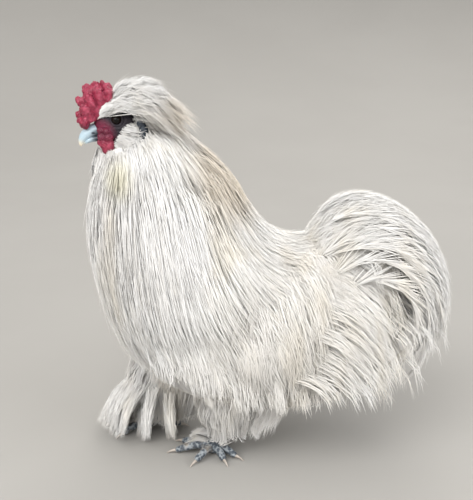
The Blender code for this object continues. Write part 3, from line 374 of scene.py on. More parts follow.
class Coat:
    """The strands of one coat as they are laid, drawn from a generator of its own.

    All have the same number of steps, and a breadth that is a share of the strand setting.
    """

    def __init__(self, seed, sizes, steps):
        self.draw = np.random.default_rng(seed)
        self.strand = sizes.strand
        self.steps = steps
        self.sets = []

    def scatter(self, shell, low, high, count, h=0.5):
        return scatter(shell, low, high, share(count), self.draw, h)

    def locks(self, feathers, roots, each, breadth, depth, wide, **how):
        wide = self.strand * wide
        self.sets.append(lock_of(feathers, roots, each, breadth, depth, self.draw, self.steps, wide, **how))

    def barbs(self, feathers, roots, each, long, wide, spread, droop):
        wide = self.strand * wide
        self.sets.append(barbs_of(feathers, roots, each, long, self.draw, self.steps, wide, spread, droop))

    def strands(self):
        return {key: np.concatenate([one[key] for one in self.sets]) for key in self.sets[0]}


def mesh_piece(name, points, faces, finish):
    """One smooth object from an array of points and arrays of triangles and quads."""
    mesh = bpy.data.meshes.new(name)
    corners = np.concatenate([part.reshape(-1) for part in faces]).astype(np.int32)
    sizes = np.concatenate([np.full(len(part), part.shape[1]) for part in faces])
    mesh.vertices.add(len(points))
    mesh.vertices.foreach_set("co", (points - (MID_LENGTH, 0, 0)).astype(np.float32).ravel())
    mesh.loops.add(len(corners))
    mesh.loops.foreach_set("vertex_index", corners)
    mesh.polygons.add(len(sizes))
    mesh.polygons.foreach_set("loop_start", (np.cumsum(sizes) - sizes).astype(np.int32))
    mesh.polygons.foreach_set("use_smooth", np.ones(len(sizes), bool))
    mesh.update(calc_edges=True)
    mesh.materials.append(finish)
    piece = bpy.data.objects.new(name, mesh)
    bpy.context.scene.collection.objects.link(piece)
    return piece


def settle(piece, slot, *nodes):
    """Every piece rides on the one body and stands for the nodes that it covers; its slot is not used."""
    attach(piece, "root")
    if nodes:
        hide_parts(*nodes)
    return piece


def strand_piece(name, strands, finish):
    """Each strand is a three-sided prism drawn to a point: middle +- w side - 0.2 w out, and + 0.4 w out.

    w is half of the strand's breadth at the root, all of it at a third and none at the tip. Its normals are
    the coat's own, out +- 0.35 side at the corners, so that the coat shades as one soft mass.
    """
    middle, wide, outward = strands["points"], strands["wide"], strands["outward"]
    count, stations = middle.shape[:2]
    k = np.linspace(0, 1, stations)
    way = unit(np.gradient(middle, axis=1))
    side = unit(np.cross(outward, way))
    out = np.cross(way, side)
    w = (wide[:, None] * np.interp(k, (0, 0.33, 0.7, 1), (0.5, 1.0, 0.75, 0)))[:, :-1, None]
    c, side, out = middle[:, :-1], side[:, :-1], out[:, :-1]
    rings = np.stack([c - side * w - out * w * 0.2, c + side * w - out * w * 0.2, c + out * w * 0.4], 2)
    points = np.concatenate([rings.reshape(count, -1, 3), middle[:, -1:]], 1)
    each = points.shape[1]
    corner = np.arange(3)
    after = (corner + 1) % 3
    bands = 3 * np.arange(stations - 2)[:, None]
    quads = np.stack([bands + corner, bands + after, bands + 3 + after, bands + 3 + corner], -1)
    quads = quads.reshape(-1, 4)
    last = 3 * (stations - 2)
    ends = np.concatenate([[[0, 2, 1]], np.stack([last + corner, last + after, np.full(3, each - 1)], -1)])
    first = (np.arange(count) * each)[:, None, None]
    faces = [(first + quads).reshape(-1, 4), (first + ends).reshape(-1, 3)]
    piece = mesh_piece(name, points.reshape(-1, 3), faces, finish)
    across = np.concatenate([np.tile([-1.0, 1.0, 0.0], stations - 1), [0.0]])
    facing, sideways = (
        np.repeat(ways, 3, axis=1)[:, : each - 1] for ways in (unit(outward), np.cross(unit(outward), way))
    )
    lean = unit(facing + 0.35 * across[: each - 1, None] * sideways)
    down = np.concatenate([np.repeat(k[:-1], 3), [1.0]])
    write_value(piece, "custom_normal", np.concatenate([lean, facing[:, -1:]], 1), "FLOAT_VECTOR", "vector")
    write_value(piece, "shade", np.repeat(strands["tint"], each))
    # The share along each strand from root to tip, which the plumage reads for its painted shade at the
    # roots.
    write_value(piece, "depth", np.tile(down, count))
    patch = 0.003 * np.stack([across / 2, down - 0.5], -1)
    place = (0.004 + 0.992 * np.mod(strands["root"], 1.0))[:, None] + patch
    vertex_of = np.zeros(len(piece.data.loops), np.int32)
    piece.data.loops.foreach_get("vertex_index", vertex_of)
    layer = piece.data.uv_layers.new(name="OFBake")
    layer.data.foreach_set("uv", place.reshape(-1, 2)[vertex_of].astype(np.float32).ravel())
    return piece


def write_value(piece, name, values, kind="FLOAT", key="value"):
    """Gives each point of a piece a value of its own."""
    made = piece.data.attributes.new(name, kind, "POINT")
    made.data.foreach_set(key, values.astype(np.float32).ravel())


class Recipe:
    """A material being made: one shader, the object's own coordinates and patterns over each other."""

    def __init__(self, name, colour, roughness, **constants):
        self.material = bpy.data.materials.new(name)
        self.material.use_nodes = True
        self.tree = self.material.node_tree
        self.shader = self.tree.nodes["Principled BSDF"]
        self.shader.inputs["Roughness"].default_value = roughness
        for key, value in constants.items():
            self.shader.inputs[key.replace("_", " ")].default_value = value
        self.place = self.tree.nodes.new("ShaderNodeTexCoord").outputs["Object"]
        self.colour = (*colour, 1.0)
        self.height = None

    def node(self, kind, inputs=(), **settings):
        made = self.tree.nodes.new(kind)
        for key, value in settings.items():
            setattr(made, key, value)
        for key, value in dict(inputs).items():
            if isinstance(value, bpy.types.NodeSocket):
                self.tree.links.new(value, made.inputs[key])
            else:
                made.inputs[key].default_value = value
        return made

    def stretched(self, stretch):
        return self.node("ShaderNodeMapping", {"Vector": self.place, "Scale": stretch}).outputs[0]

    def noise(self, scale, detail=3.0, stretch=(1, 1, 1)):
        inputs = {"Vector": self.stretched(stretch), "Scale": scale, "Detail": detail, "Roughness": 0.55}
        return self.node("ShaderNodeTexNoise", inputs).outputs[0]

    def cells(self, scale, stretch=(1, 1, 1)):
        inputs = {"Vector": self.stretched(stretch), "Scale": scale}
        return self.node("ShaderNodeTexVoronoi", inputs, feature="F1").outputs["Distance"]

    def above_floor(self):
        return self.node("ShaderNodeSeparateXYZ", {0: self.place}).outputs[2]

    def attribute(self, name):
        return self.node("ShaderNodeAttribute", attribute_name=name).outputs["Fac"]

    def between(self, value, low, high, first=0.0, last=1.0):
        """The value carried from low..high to first..last and held there."""
        inputs = {"Value": value, "From Min": low, "From Max": high, "To Min": first, "To Max": last}
        return self.node("ShaderNodeMapRange", inputs, interpolation_type="SMOOTHSTEP").outputs[0]

    def times(self, a, b):
        return self.node("ShaderNodeMath", {0: a, 1: b}, operation="MULTIPLY").outputs[0]

    def spot(self, centre, radii, soft=0.5):
        """A mask: 1 inside an ellipsoid on the bird and 0 outside, over a soft share of its radii."""
        scale = tuple(1 / r for r in radii)
        shift = tuple(-(c - m) * s for c, m, s in zip(centre, (MID_LENGTH, 0, 0), scale))
        inputs = {"Vector": self.place, "Location": shift, "Scale": scale}
        moved = self.node("ShaderNodeMapping", inputs).outputs[0]
        far = self.node("ShaderNodeVectorMath", {0: moved}, operation="LENGTH").outputs["Value"]
        return self.between(far, 1 - soft, 1 + soft, 1.0, 0.0)

    def tint(self, mask, colour):
        inputs = {"Factor": mask, 6: self.colour, 7: (*colour, 1.0)}
        mix = self.node("ShaderNodeMix", inputs, data_type="RGBA", blend_type="MIX")
        self.colour = mix.outputs[2]

    def bump(self, value, distance, strength=1.0):
        inputs = {"Height": value, "Distance": distance, "Strength": strength}
        if self.height is not None:
            inputs["Normal"] = self.height
        self.height = self.node("ShaderNodeBump", inputs).outputs[0]

    def done(self):
        self.tree.links.new(self.colour, self.shader.inputs["Base Color"])
        if self.height is not None:
            self.tree.links.new(self.height, self.shader.inputs["Normal"])
        return self.material


def mark_plumage(recipe, colours):
    """The markings that skin and plumage share: cream and straw stains where the sun and dust reach."""
    streak = recipe.noise(26.0, 3.0, (1.0, 1.0, 0.16))
    recipe.tint(recipe.between(streak, 0.45, 0.75, 0.0, 0.60), colours.cream)
    for centre, radii, soft, most, colour in (
        ((-0.012, 0.0, 0.262), (0.034, 0.060, 0.046), 0.5, 0.62, colours.straw),
        ((-0.052, 0.0, 0.318), (0.032, 0.034, 0.018), 0.5, 0.50, colours.straw),
        ((-0.106, -0.034, 0.268), (0.011, 0.024, 0.016), 0.7, 0.55, colours.stain),
        ((0.020, 0.0, 0.120), (0.080, 0.110, 0.080), 0.6, 0.42, colours.cream),
        ((0.125, 0.0, 0.130), (0.070, 0.090, 0.090), 0.6, 0.22, colours.cream),
    ):
        recipe.tint(recipe.times(recipe.spot(centre, radii, soft), most), colour)
    recipe.tint(recipe.between(recipe.above_floor(), 0.013, 0.002, 0.0, 0.35), colours.dust)


def plumage_finish(colours):
    """The one material of all coats, made for the first: painted shade darkens the roots, and each strand has
    a cream tone of its own.
    """
    made = bpy.data.materials.get("loose plumage")
    if made is not None:
        return made
    recipe = Recipe("loose plumage", colours.plumage, 0.75, Sheen_Weight=0.2, Sheen_Roughness=0.5,
                    Specular_IOR_Level=0.15, Subsurface_Weight=0.32, Subsurface_Scale=0.003,
                    Subsurface_Radius=(1.0, 0.95, 0.85))
    mark_plumage(recipe, colours)
    # Painted shade: the shadow colour laid over the first part of each strand from its root, as if the coat
    # shadowed it.
    recipe.tint(recipe.between(recipe.attribute("depth"), 0.0, 0.45, 0.30, 0.0), colours.shadow)
    recipe.tint(recipe.between(recipe.attribute("shade"), 0.25, 1.0, 0.0, 0.22), colours.cream)
    return recipe.done()


def skin_finish(colours):
    """Down-covered skin on the body, bare slate skin with fine folds on the face."""
    recipe = Recipe("skin and down", colours.plumage, 0.62, Specular_IOR_Level=0.35)
    mark_plumage(recipe, colours)
    face = recipe.spot((-0.108, 0.0, 0.3150), (0.030, 0.050, 0.0195), 0.12)
    recipe.tint(face, colours.face)
    red = recipe.spot((-0.121, 0.0, 0.304), (0.0125, 0.050, 0.0125), 0.35)
    recipe.tint(red, colours.lore)
    mottle = recipe.noise(420.0, 4.0)
    recipe.tint(recipe.times(recipe.times(face, recipe.between(mottle, 0.45, 0.75)), 0.5), colours.face_pale)
    recipe.bump(recipe.cells(520.0, (1.0, 1.0, 1.5)), 0.0005, 0.8)
    recipe.bump(mottle, 0.0003, 0.6)
    return recipe.done()


def comb_finish(colours):
    """Mulberry flesh, with painted highlights in places, darker by the bill, with painted shade in the
    furrows and a pebbled surface.
    """
    recipe = Recipe("mulberry flesh", colours.comb, 0.42, Specular_IOR_Level=0.45, Subsurface_Weight=0.12,
                    Subsurface_Scale=0.004, Subsurface_Radius=(1.0, 0.25, 0.2))
    # Painted highlight: lighter patches, spread by noise, for the lit tops of the lobes.
    recipe.tint(recipe.between(recipe.noise(160.0, 4.0), 0.40, 0.70, 0.0, 0.75), colours.comb_highlight)
    recipe.tint(recipe.spot((-0.119, 0.0, 0.3060), (0.014, 0.04, 0.0075), 0.5), colours.lore)
    # Painted shade: darker cell edges for the furrows between the lobes.
    recipe.tint(recipe.between(recipe.cells(300.0), 0.25, 0.75, 0.0, 0.35), colours.comb_furrow_shade)
    recipe.bump(recipe.cells(760.0), 0.0006, 0.7)
    recipe.bump(recipe.noise(900.0, 3.0), 0.0003, 0.5)
    return recipe.done()


def ear_finish(colours):
    """Dark blue skin with the face's colour in patches."""
    recipe = Recipe("ear skin", colours.ear, 0.5, Specular_IOR_Level=0.4)
    recipe.tint(recipe.between(recipe.noise(500.0, 3.0), 0.45, 0.75, 0.0, 0.5), colours.face)
    recipe.bump(recipe.cells(700.0), 0.0004, 0.7)
    return recipe.done()


def bill_finish(colours):
    """Blue-grey horn, darker at its root and cream at its tip, with painted shade in the nostril and fine
    lines along it.
    """
    recipe = Recipe("bill horn", colours.bill, 0.30, Specular_IOR_Level=0.5, Coat_Weight=0.25,
                    Coat_Roughness=0.25)
    recipe.tint(recipe.spot((-0.1225, 0.0, 0.3010), (0.0058, 0.02, 0.0075), 0.6), colours.bill_root_and_nostril_shade)
    recipe.tint(recipe.spot((-0.1395, 0.0, 0.2915), (0.0055, 0.02, 0.0060), 0.6), colours.bill_tip)
    # Painted shade: the nostril pit darkened with the root's colour.
    recipe.tint(recipe.spot(NOSTRIL, (0.0017, 0.02, 0.0009), 0.3), colours.bill_root_and_nostril_shade)
    recipe.bump(recipe.noise(240.0, 4.0, (1.0, 1.0, 3.0)), 0.0003, 0.4)
    return recipe.done()


def eye_finish(colours):
    """A black pupil in a very dark brown iris, under a wet, clear surface."""
    recipe = Recipe("eye", colours.iris, 0.10, Specular_IOR_Level=0.16)
    for side in (-1, 1):
        place = EYE_PLACE * (1, side, 1) + (0, side * EYE_RADIUS, 0)
        recipe.tint(recipe.spot(place, (0.0022, 0.004, 0.0022), 0.12), (0.004, 0.004, 0.004))
    recipe.tint(recipe.between(recipe.noise(900.0, 2.0), 0.4, 0.7, 0.0, 0.4), (0.01, 0.006, 0.004))
    return recipe.done()


def foot_finish(colours):
    """Slate scales with paler edges, dusted brown towards the ground."""
    recipe = Recipe("foot scales", colours.foot, 0.55, Specular_IOR_Level=0.4)
    recipe.tint(recipe.between(recipe.cells(360.0), 0.42, 0.75, 0.0, 0.65), colours.foot_pale)
    recipe.tint(recipe.between(recipe.noise(130.0, 4.0), 0.50, 0.72, 0.0, 0.45), colours.dust)
    recipe.tint(recipe.between(recipe.above_floor(), 0.0035, 0.0, 0.0, 0.7), colours.dust)
    recipe.bump(recipe.cells(520.0), 0.0006, 0.8)
    recipe.bump(recipe.noise(800.0, 3.0), 0.0003, 0.5)
    return recipe.done()


def claw_finish(colours):
    """Pale horn with darker streaks along it."""
    recipe = Recipe("claw horn", colours.claw, 0.38, Coat_Weight=0.2)
    recipe.tint(recipe.between(recipe.noise(300.0, 3.0, (1, 1, 0.4)), 0.45, 0.7, 0.0, 0.6), colours.claw_dark)
    recipe.bump(recipe.noise(700.0, 3.0), 0.0002, 0.4)
    return recipe.done()


def band_faces(rows, columns):
    """Quads of a grid whose columns close on themselves."""
    r, c = np.mgrid[0:rows - 1, 0:columns]
    after, above = (c + 1) % columns, r + 1
    here, next_row = r * columns, above * columns
    return np.stack([here + c, here + after, next_row + after, next_row + c], -1).reshape(-1, 4)


def closed_rings(rings):
    """Points and faces of a closed body through rings of points; the middle of each end ring is a pole."""
    rows, columns = rings.shape[:2]
    points = np.concatenate([rings.reshape(-1, 3), rings[:1].mean(1), rings[-1:].mean(1)])
    c = np.arange(columns)
    after = (c + 1) % columns
    first, last = np.full(columns, rows * columns), np.full(columns, rows * columns + 1)
    top = (rows - 1) * columns
    fans = np.concatenate([np.stack([first, after, c], -1), np.stack([last, top + c, top + after], -1)])
    return points, [band_faces(rows, columns), fans]


def carried(path, wide, tall, sides=12, up=(0, 0, 1), lumps=1.0):
    """An oval section along a path: path(s) + lumps(s, a) (wide(s) cos(a) side + tall(s) sin(a) top)."""
    way = unit(np.gradient(path, axis=0))
    side = unit(np.cross(way, up))
    top = np.cross(side, way)
    a = round_turn(sides)[::-1]
    wide, tall = np.broadcast_to(wide, len(path))[:, None], np.broadcast_to(tall, len(path))[:, None]
    rings = (path[:, None] + (lumps * wide * np.cos(a))[..., None] * side[:, None]
             + (lumps * tall * np.sin(a))[..., None] * top[:, None])
    return closed_rings(rings)


def ball(centre, reach, rows=14, columns=20):
    """An ellipsoid: centre + reach (cos t, sin t cos a, sin t sin a)."""
    t = np.linspace(0.04, math.pi - 0.04, rows)[:, None]
    a = round_turn(columns)
    rings = vectors(-np.cos(t), np.sin(t) * np.cos(a), np.sin(t) * np.sin(a))
    return closed_rings(np.asarray(centre) + rings * np.asarray(reach))


def joined(name, parts, finish):
    """One object of several closed bodies, given as (points, faces) pairs, all faces turned outwards."""
    shift = np.cumsum([0] + [len(points) for points, _ in parts])
    groups = (
        [f + shift[n] for n, (_, faces) in enumerate(parts) for f in faces if f.shape[1] == corners]
        for corners in (4, 3)
    )
    faces = [np.concatenate(group) for group in groups]
    piece = mesh_piece(name, np.concatenate([points for points, _ in parts]), faces, finish)
    shell = bmesh.new()
    shell.from_mesh(piece.data)
    bmesh.ops.recalc_face_normals(shell, faces=shell.faces)
    shell.to_mesh(piece.data)
    shell.free()
    return piece


def applied(piece, kind, **settings):
    """The piece with one modifier of this kind worked into its mesh."""
    made = piece.modifiers.new(kind.lower(), kind)
    for key, value in settings.items():
        setattr(made, key, value)
    mesh = bpy.data.meshes.new_from_object(piece.evaluated_get(bpy.context.evaluated_depsgraph_get()))
    piece.modifiers.remove(made)
    old, piece.data = piece.data, mesh
    bpy.data.meshes.remove(old)
    mesh.polygons.foreach_set("use_smooth", np.ones(len(mesh.polygons), bool))
    return piece


def fused(piece, voxel, smooth=4):
    """Bodies that overlap made one skin: voxel remesh, then smoothing."""
    bpy.context.view_layer.update()
    applied(piece, "REMESH", mode="VOXEL", voxel_size=voxel)
    return applied(piece, "SMOOTH", factor=0.5, iterations=smooth)


def read_points(piece, key):
    values = np.zeros(len(piece.data.vertices) * 3, np.float32)
    piece.data.vertices.foreach_get(key, values)
    return values.reshape(-1, 3).astype(float)


def raised(piece, rise):
    """Moves a piece's points out along their normals by rise(points)."""
    points = read_points(piece, "co") + (MID_LENGTH, 0, 0)
    moved = points + read_points(piece, "normal") * rise(points)[:, None]
    piece.data.vertices.foreach_set("co", (moved - (MID_LENGTH, 0, 0)).astype(np.float32).ravel())
    piece.data.update()
    return piece


def ripple(points, wavelength, seed):
    """A smooth random height from -1 to 1: the mean of six sine waves of random direction and phase."""
    draw = np.random.default_rng(seed)
    ways = unit(draw.normal(0, 1, (6, 3))) / wavelength * draw.uniform(0.7, 1.5, (6, 1)) * 2 * math.pi
    return np.sin(points @ ways.T + draw.uniform(0, 6.28, 6)).mean(-1)


# The bill's nostril, seen from either side, and the comb's rows: the ends of its root and the tops (x, z).
NOSTRIL = (-0.1268, 0.0, 0.3048)
COMB_ROOT = np.array([(-0.1335, 0.3125), (-0.1120, 0.3290)])
COMB_TOPS = np.array([
    (-0.1380, 0.3250), (-0.1370, 0.3370), (-0.1325, 0.3455), (-0.1240, 0.3510), (-0.1150, 0.3500),
])
# The plumage ends round the bare face along these lines: x over z behind it, and z over x above the eye.
FACE_BACK = ((0.2826, 0.2971, 0.3058, 0.3204), (-0.1097, -0.1095, -0.1059, -0.0928))
FACE_TOP = (
    (-0.1226, -0.1145, -0.1106, -0.1040, -0.0956, -0.0900), (0.3158, 0.3194, 0.3221, 0.3248, 0.3234, 0.3215),
)
# Lobes beside the bill, from the lores down to the wattle: place, half length, half height.
LOBES = (
    (-0.1205, 0.0080, 0.3075, 0.0034, 0.0034), (-0.1150, 0.0108, 0.3070, 0.0036, 0.0036),
    (-0.1195, 0.0082, 0.3015, 0.0040, 0.0038), (-0.1135, 0.0108, 0.3012, 0.0042, 0.0042),
    (-0.1180, 0.0078, 0.2955, 0.0040, 0.0050), (-0.1130, 0.0098, 0.2945, 0.0044, 0.0060),
    (-0.1155, 0.0090, 0.2910, 0.0042, 0.0052), (-0.1215, 0.0055, 0.2965, 0.0026, 0.0030),
)
# The ear lobe's upper end, middle and lower end: place from its middle, half length, half width, half height.
EAR_LOBES = (
    (0.0, 0.0, 0.0042, 0.0040, 0.0080, 14, 18), (-0.0020, 0.0080, 0.0036, 0.0034, 0.0044, 12, 14),
    (-0.0014, -0.0080, 0.0034, 0.0034, 0.0044, 12, 14),
)
# Tiers of the tail's plumes: how many, how far they fan to each side (degrees), how far down the shell the
# outermost is rooted, their length and their height over the inner shell.
TAIL_TIERS = (
    (17, 55, 0.05, 0.235, 0.97), (17, 100, 0.12, 0.200, 0.93), (17, 122, 0.24, 0.165, 0.94),
    (15, 128, 0.36, 0.135, 0.94), (13, 70, 0.06, 0.225, 0.82), (13, 112, 0.20, 0.180, 0.80),
)
# Fans of the wing: how many quills, first and last root, first and last tip as places (u, degrees) on the
# body's shell, their height over the skin and the length of their barbs.
WING_FANS = (
    (9, (5.15, 104), (5.80, 112), (6.00, 66), (7.60, 92), 0.72, 0.020),
    (7, (5.05, 108), (5.60, 114), (5.70, 86), (6.90, 102), 0.82, 0.018),
)
# Feathers of each foot: the way each leaves the ankle (degrees outwards from straight ahead) and its length.
BOOTS = {-1: ((-34, 0.024), (-18, 0.024)),
         1: ((-22, 0.034), (2, 0.038), (26, 0.040), (50, 0.036), (78, 0.030), (108, 0.024))}
# Where the fluff behind each leg ends: places along its lower edge.
SKIRTS = {
    -1: np.array([
        (0.001, -0.035, 0.019), (0.018, -0.044, 0.031), (0.031, -0.048, 0.051), (0.052, -0.056, 0.064),
    ]),
    1: np.array([
        (-0.080, 0.012, 0.014), (-0.060, 0.016, 0.012), (-0.042, 0.020, 0.014), (-0.026, 0.026, 0.020),
    ]),
}
# Long pointed feathers of the legs: how many, their root, the way they leave it, their length and last fall.
FRINGES = {-1: ((3, 0.002, 0.032, 0.052, 0.35, 0.3, -1.0, 0.036, -1.0),),
           1: ((7, -0.092, 0.032, 0.058, -0.85, 0.55, -0.55, 0.068, -1.0),
               (6, -0.090, 0.018, 0.054, -0.72, 0.45, -0.62, 0.063, -1.0),
               (5, -0.080, 0.010, 0.054, -0.38, 0.40, -0.85, 0.057, -1.0),
               (4, -0.066, 0.006, 0.050, -0.10, 0.30, -1.0, 0.052, -1.0))}
TOE_RADIUS = 0.0042


def face_relief(points):
    """How far the face's skin is raised: socket, lids and folds in rings round the eye, and fine wrinkles."""
    x, y, z = points.T
    face = ease((-0.088 - x) / 0.006) * ease((z - 0.290) / 0.005)
    r = np.hypot((x - EYE_PLACE[0]) / 1.08, z - EYE_PLACE[2])
    rise = -0.0024 * ease((0.0042 - r) / 0.0010)
    rise += 0.0010 * np.exp(-((r - 0.0048) / 0.0008) ** 2) * (1 + 0.25 * np.sign(z - EYE_PLACE[2]))
    rise -= 0.0003 * np.exp(-((r - 0.0062) / 0.0006) ** 2)
    rise += 0.0002 * np.exp(-((r - 0.0074) / 0.0008) ** 2)
    rise = rise * ease((np.abs(y) - 0.006) / 0.003) + 0.00035 * ripple(points, 0.0040, 4)
    return face * (rise + 0.0002 * ripple(points, 0.0018, 5))


def body_skin(finish):
    """Neck, trunk, skull, rump and thighs as closed rings, fused to one skin, with a relief on the face."""
    u = np.linspace(0, BODY_STATIONS, 60)[:, None]
    depth = np.interp(u, (0, 0.9, 4.5, 6, 9), (0.36, 0.60, 0.60, 0.50, 0.30))
    t = np.linspace(0.04, 0.96, 16)[:, None]
    a = round_turn(32)
    parts = [closed_rings(body_shell(u, round_turn(72), depth)), closed_rings(tail_shell(t, a, 0.45)),
             ball(SKULL[0], SKULL[1:], 30, 40), ball((0.070, 0.0, 0.174), (0.044, 0.020, 0.022))]
    for side, _ in SIDES:
        parts.append(closed_rings(leg_shell(side)(np.linspace(-0.1, 0.86, 20)[:, None], a, 0.45)))
    skin = fused(joined("skin", parts, finish), 0.0024, 5)
    shell = bmesh.new()
    shell.from_mesh(skin.data)
    near = [e for e in shell.edges if all(p.co.x < -0.086 - MID_LENGTH and p.co.z > 0.286 for p in e.verts)]
    bmesh.ops.subdivide_edges(shell, edges=near, cuts=3, use_grid_fill=True)
    shell.to_mesh(skin.data)
    shell.free()
    raised(skin, face_relief)
    return settle(skin, "bare_face", "head", "neck", "torso", "thigh_left", "thigh_right")


def eyeballs(finish):
    """Two balls, each a little fuller in front: radius (1 + 0.05 cos^4 of the angle from the eye's axis)."""
    parts = []
    for side, _ in SIDES:
        points, faces = ball((0, 0, 0), (1, 1, 1), 24, 32)
        full = 1 + 0.05 * np.clip(points[:, 1] * side, 0, 1) ** 4
        parts.append((EYE_PLACE * (1, side, 1) + points * full[:, None] * EYE_RADIUS, faces))
    return settle(joined("eyes", parts, finish), "eye_gloss", "eye_left", "eye_right")


def bill_half(root, tip, half_wide, half_tall, ridge):
    """Half a bill: path(s) = root + reach (sin(pi s / 2), 0, 1 - cos(pi s / 2)), size (1 - s^1.7)^0.62.

    The taller, upper half has a nostril pit in each side.
    """
    s = np.linspace(0, 1, 28)
    path = root + (tip - root) * np.stack([np.sin(s * math.pi / 2), s, 1 - np.cos(s * math.pi / 2)], -1)
    size = (1 - 0.985 * s**1.7) ** 0.62
    a = round_turn(24)[::-1]
    lumps = 1 + ridge * np.clip(np.sin(a), 0, 1) ** 6 - 0.05 * np.clip(-np.sin(a), 0, 1)
    points, faces = carried(path, half_wide * size, half_tall * size, 24, lumps=lumps)
    sides = np.abs(points[:, 1])
    pit = np.exp(-(((points[:, 0] - NOSTRIL[0]) / 0.0016) ** 2 + ((points[:, 2] - NOSTRIL[2]) / 0.0009) ** 2))
    points[:, 1] -= np.sign(points[:, 1]) * np.minimum(0.0011 * pit, sides * 0.8) * (half_tall > 0.005)
    return points, faces


def bill(finish):
    """The hooked upper half over the shorter, flatter lower one."""
    low_root, low_tip = np.array([-0.1200, 0.0, 0.2999]), np.array([-0.1346, 0.0, 0.2940])
    upper = joined("upper_bill", [bill_half(BILL_ROOT, BILL_TIP, 0.0070, 0.0058, 0.08)], finish)
    lower = joined("lower_bill", [bill_half(low_root, low_tip, 0.0056, 0.0034, 0.0)], finish)
    settle(upper, "beak_horn", "beak_upper")
    return settle(lower, "beak_horn", "beak_lower")


def lumpy(name, parts, finish, voxel, waves):
    """Fleshy lobes fused to one surface, raised along its normals by waves, each a length and a height."""
    def rise(points):
        return sum(height * ripple(points, length, n) for n, (length, height) in enumerate(waves))

    return raised(fused(joined(name, parts, finish), voxel, 3), rise)


def comb(finish):
    """Five rows of three upright columns, each a tapered tube with knobs round its top, over two cores."""
    draw = np.random.default_rng(2)
    parts = []
    for place in np.linspace(0, 1, len(COMB_TOPS)):
        x, z = rows_at(COMB_TOPS, np.array(place * (len(COMB_TOPS) - 1)))
        low = COMB_ROOT[0] + (COMB_ROOT[1] - COMB_ROOT[0]) * place
        for across in (-1, 0, 1):
            start = np.array([low[0], across * 0.0050, low[1]])
            top = np.array([x + 0.002 * abs(across), across * 0.0100, z - 0.0055 * abs(across) - 0.0030])
            s = np.linspace(0, 1, 8)[:, None]
            path = start + (top - start) * s + np.array([0, 0.0010 * across, 0]) * np.sin(math.pi * s)
            wide = 0.0043 * draw.uniform(0.92, 1.08) * np.interp(s[:, 0], (0, 0.6, 1), (1.1, 1.0, 0.85))
            parts.append(carried(path, wide, wide * 1.1, 12, up=(0, 1, 0.1)))
            for turn in np.arange(5) * 1.26 + draw.uniform(0, 2):
                out = np.array([math.cos(turn), math.sin(turn), 0]) * 0.0027
                knob = top + (start - top) * draw.uniform(-0.06, 0.30) + out
                parts.append(ball(knob, np.array([1.0, 1.0, 1.4]) * 0.0023 * draw.uniform(0.8, 1.2), 8, 10))
    parts.append(ball((-0.1215, 0.0, 0.3205), (0.0095, 0.0085, 0.0070)))
    parts.append(ball((-0.1262, 0.0, 0.3330), (0.0090, 0.0085, 0.0130)))
    waves = ((0.0065, 0.0006), (0.0026, 0.0004), (0.0013, 0.0002))
    return settle(lumpy("mulberry_comb", parts, finish, 0.0006, waves), "comb_flesh", "comb")


def wattles(finish):
    """Lobes beside the bill: rows of soft eggs from the lores down to the rounded wattle."""
    parts = [
        ball((x, side * y, z), (long, 0.0036, tall), 12, 16)
        for side, _ in SIDES for x, y, z, long, tall in LOBES
    ]
    piece = lumpy("wattles", parts, finish, 0.0005, ((0.0045, 0.0004), (0.0020, 0.0003), (0.0011, 0.00015)))
    return settle(piece, "comb_flesh", "wattle_left", "wattle_right")


def ear_lobes(finish):
    """On each side an upright lobe of three eggs."""
    parts = [
        ball(EAR_PLACE * (1, side, 1) + (x, 0, z), (long, wide, tall), rows, columns)
        for side, _ in SIDES for x, z, long, wide, tall, rows, columns in EAR_LOBES
    ]
    piece = lumpy("ear_lobes", parts, finish, 0.0006, ((0.0035, 0.0004), (0.0016, 0.0002)))
    return settle(piece, "bare_face", "earlobe_left", "earlobe_right")


def toe_path(side, end, count):
    """From above the ball of the foot to the toe's end: the straight line plus 2.4 mm sin(pi s) up."""
    s = np.linspace(0, 1, count)[:, None]
    start = np.array([ANKLE[side][0], ANKLE[side][1], 0.0085])
    path = start + (np.array([*end, TOE_RADIUS * 0.74]) - start) * s
    path[:, 2] += 0.0024 * np.sin(math.pi * s[:, 0])
    return path


def scaled_foot(side, name, finish):
    """Toes with overlapping plates on top, pads below, a ball of the foot and the shank's lower end.

    lumps = 1 + 0.10 above (1 - phase of the plate) + 0.05 below (1 + cos(6 pi s)) + 0.035 beads on the sides.
    """
    parts = []
    a = round_turn(20)[::-1]
    above, below = ease(np.sin(a) * 1.4), ease(-np.sin(a) * 1.4)
    s = np.linspace(0, 1, 72)[:, None]
    swell = TOE_RADIUS * np.interp(s[:, 0], (0, 0.25, 0.7, 0.95, 1.0), (1.18, 0.95, 0.82, 0.68, 0.42))
    for key, end in TOE_ENDS[side].items():
        plates = 4 if key == "fifth" else 11
        phase = np.mod(s * plates, 1.0)
        beads = np.sin(a * 7 + 3 * np.floor(s * plates)) * np.sin(s * plates * 4 * math.pi)
        lumps = 1 + 0.10 * above * (1 - phase) * ease(phase / 0.12)
        lumps = lumps + 0.05 * below * (1 + np.cos(6 * math.pi * s)) + 0.035 * beads * (1 - above)
        points, faces = carried(toe_path(side, end, 72), swell, swell * 0.92, 20, lumps=lumps)
        points[:, 2] = np.maximum(points[:, 2], 0.0002)
        parts.append((points, faces))
    foot = np.array(ANKLE[side]) * (1, 1, 0)
    parts.append(ball(foot + (0, 0, 0.0070), (0.0088, 0.0082, 0.0068), 16, 24))
    top, ankle = np.array(HOCK[side]), foot + (0, 0, 0.006)
    s = np.linspace(0, 0.8, 60)[:, None]
    rings = np.mod(s * 12, 1.0)
    parts.append(carried(ankle + (top - ankle) * s, 0.0060, 0.0060, 20, up=(1, 0, 0),
                         lumps=1 + 0.07 * (1 - rings) * ease(rings / 0.12)))
    foot = joined("scaled_foot_" + name, parts, finish)
    return settle(foot, "foot_scales", "foot_" + name, "shank_" + name)


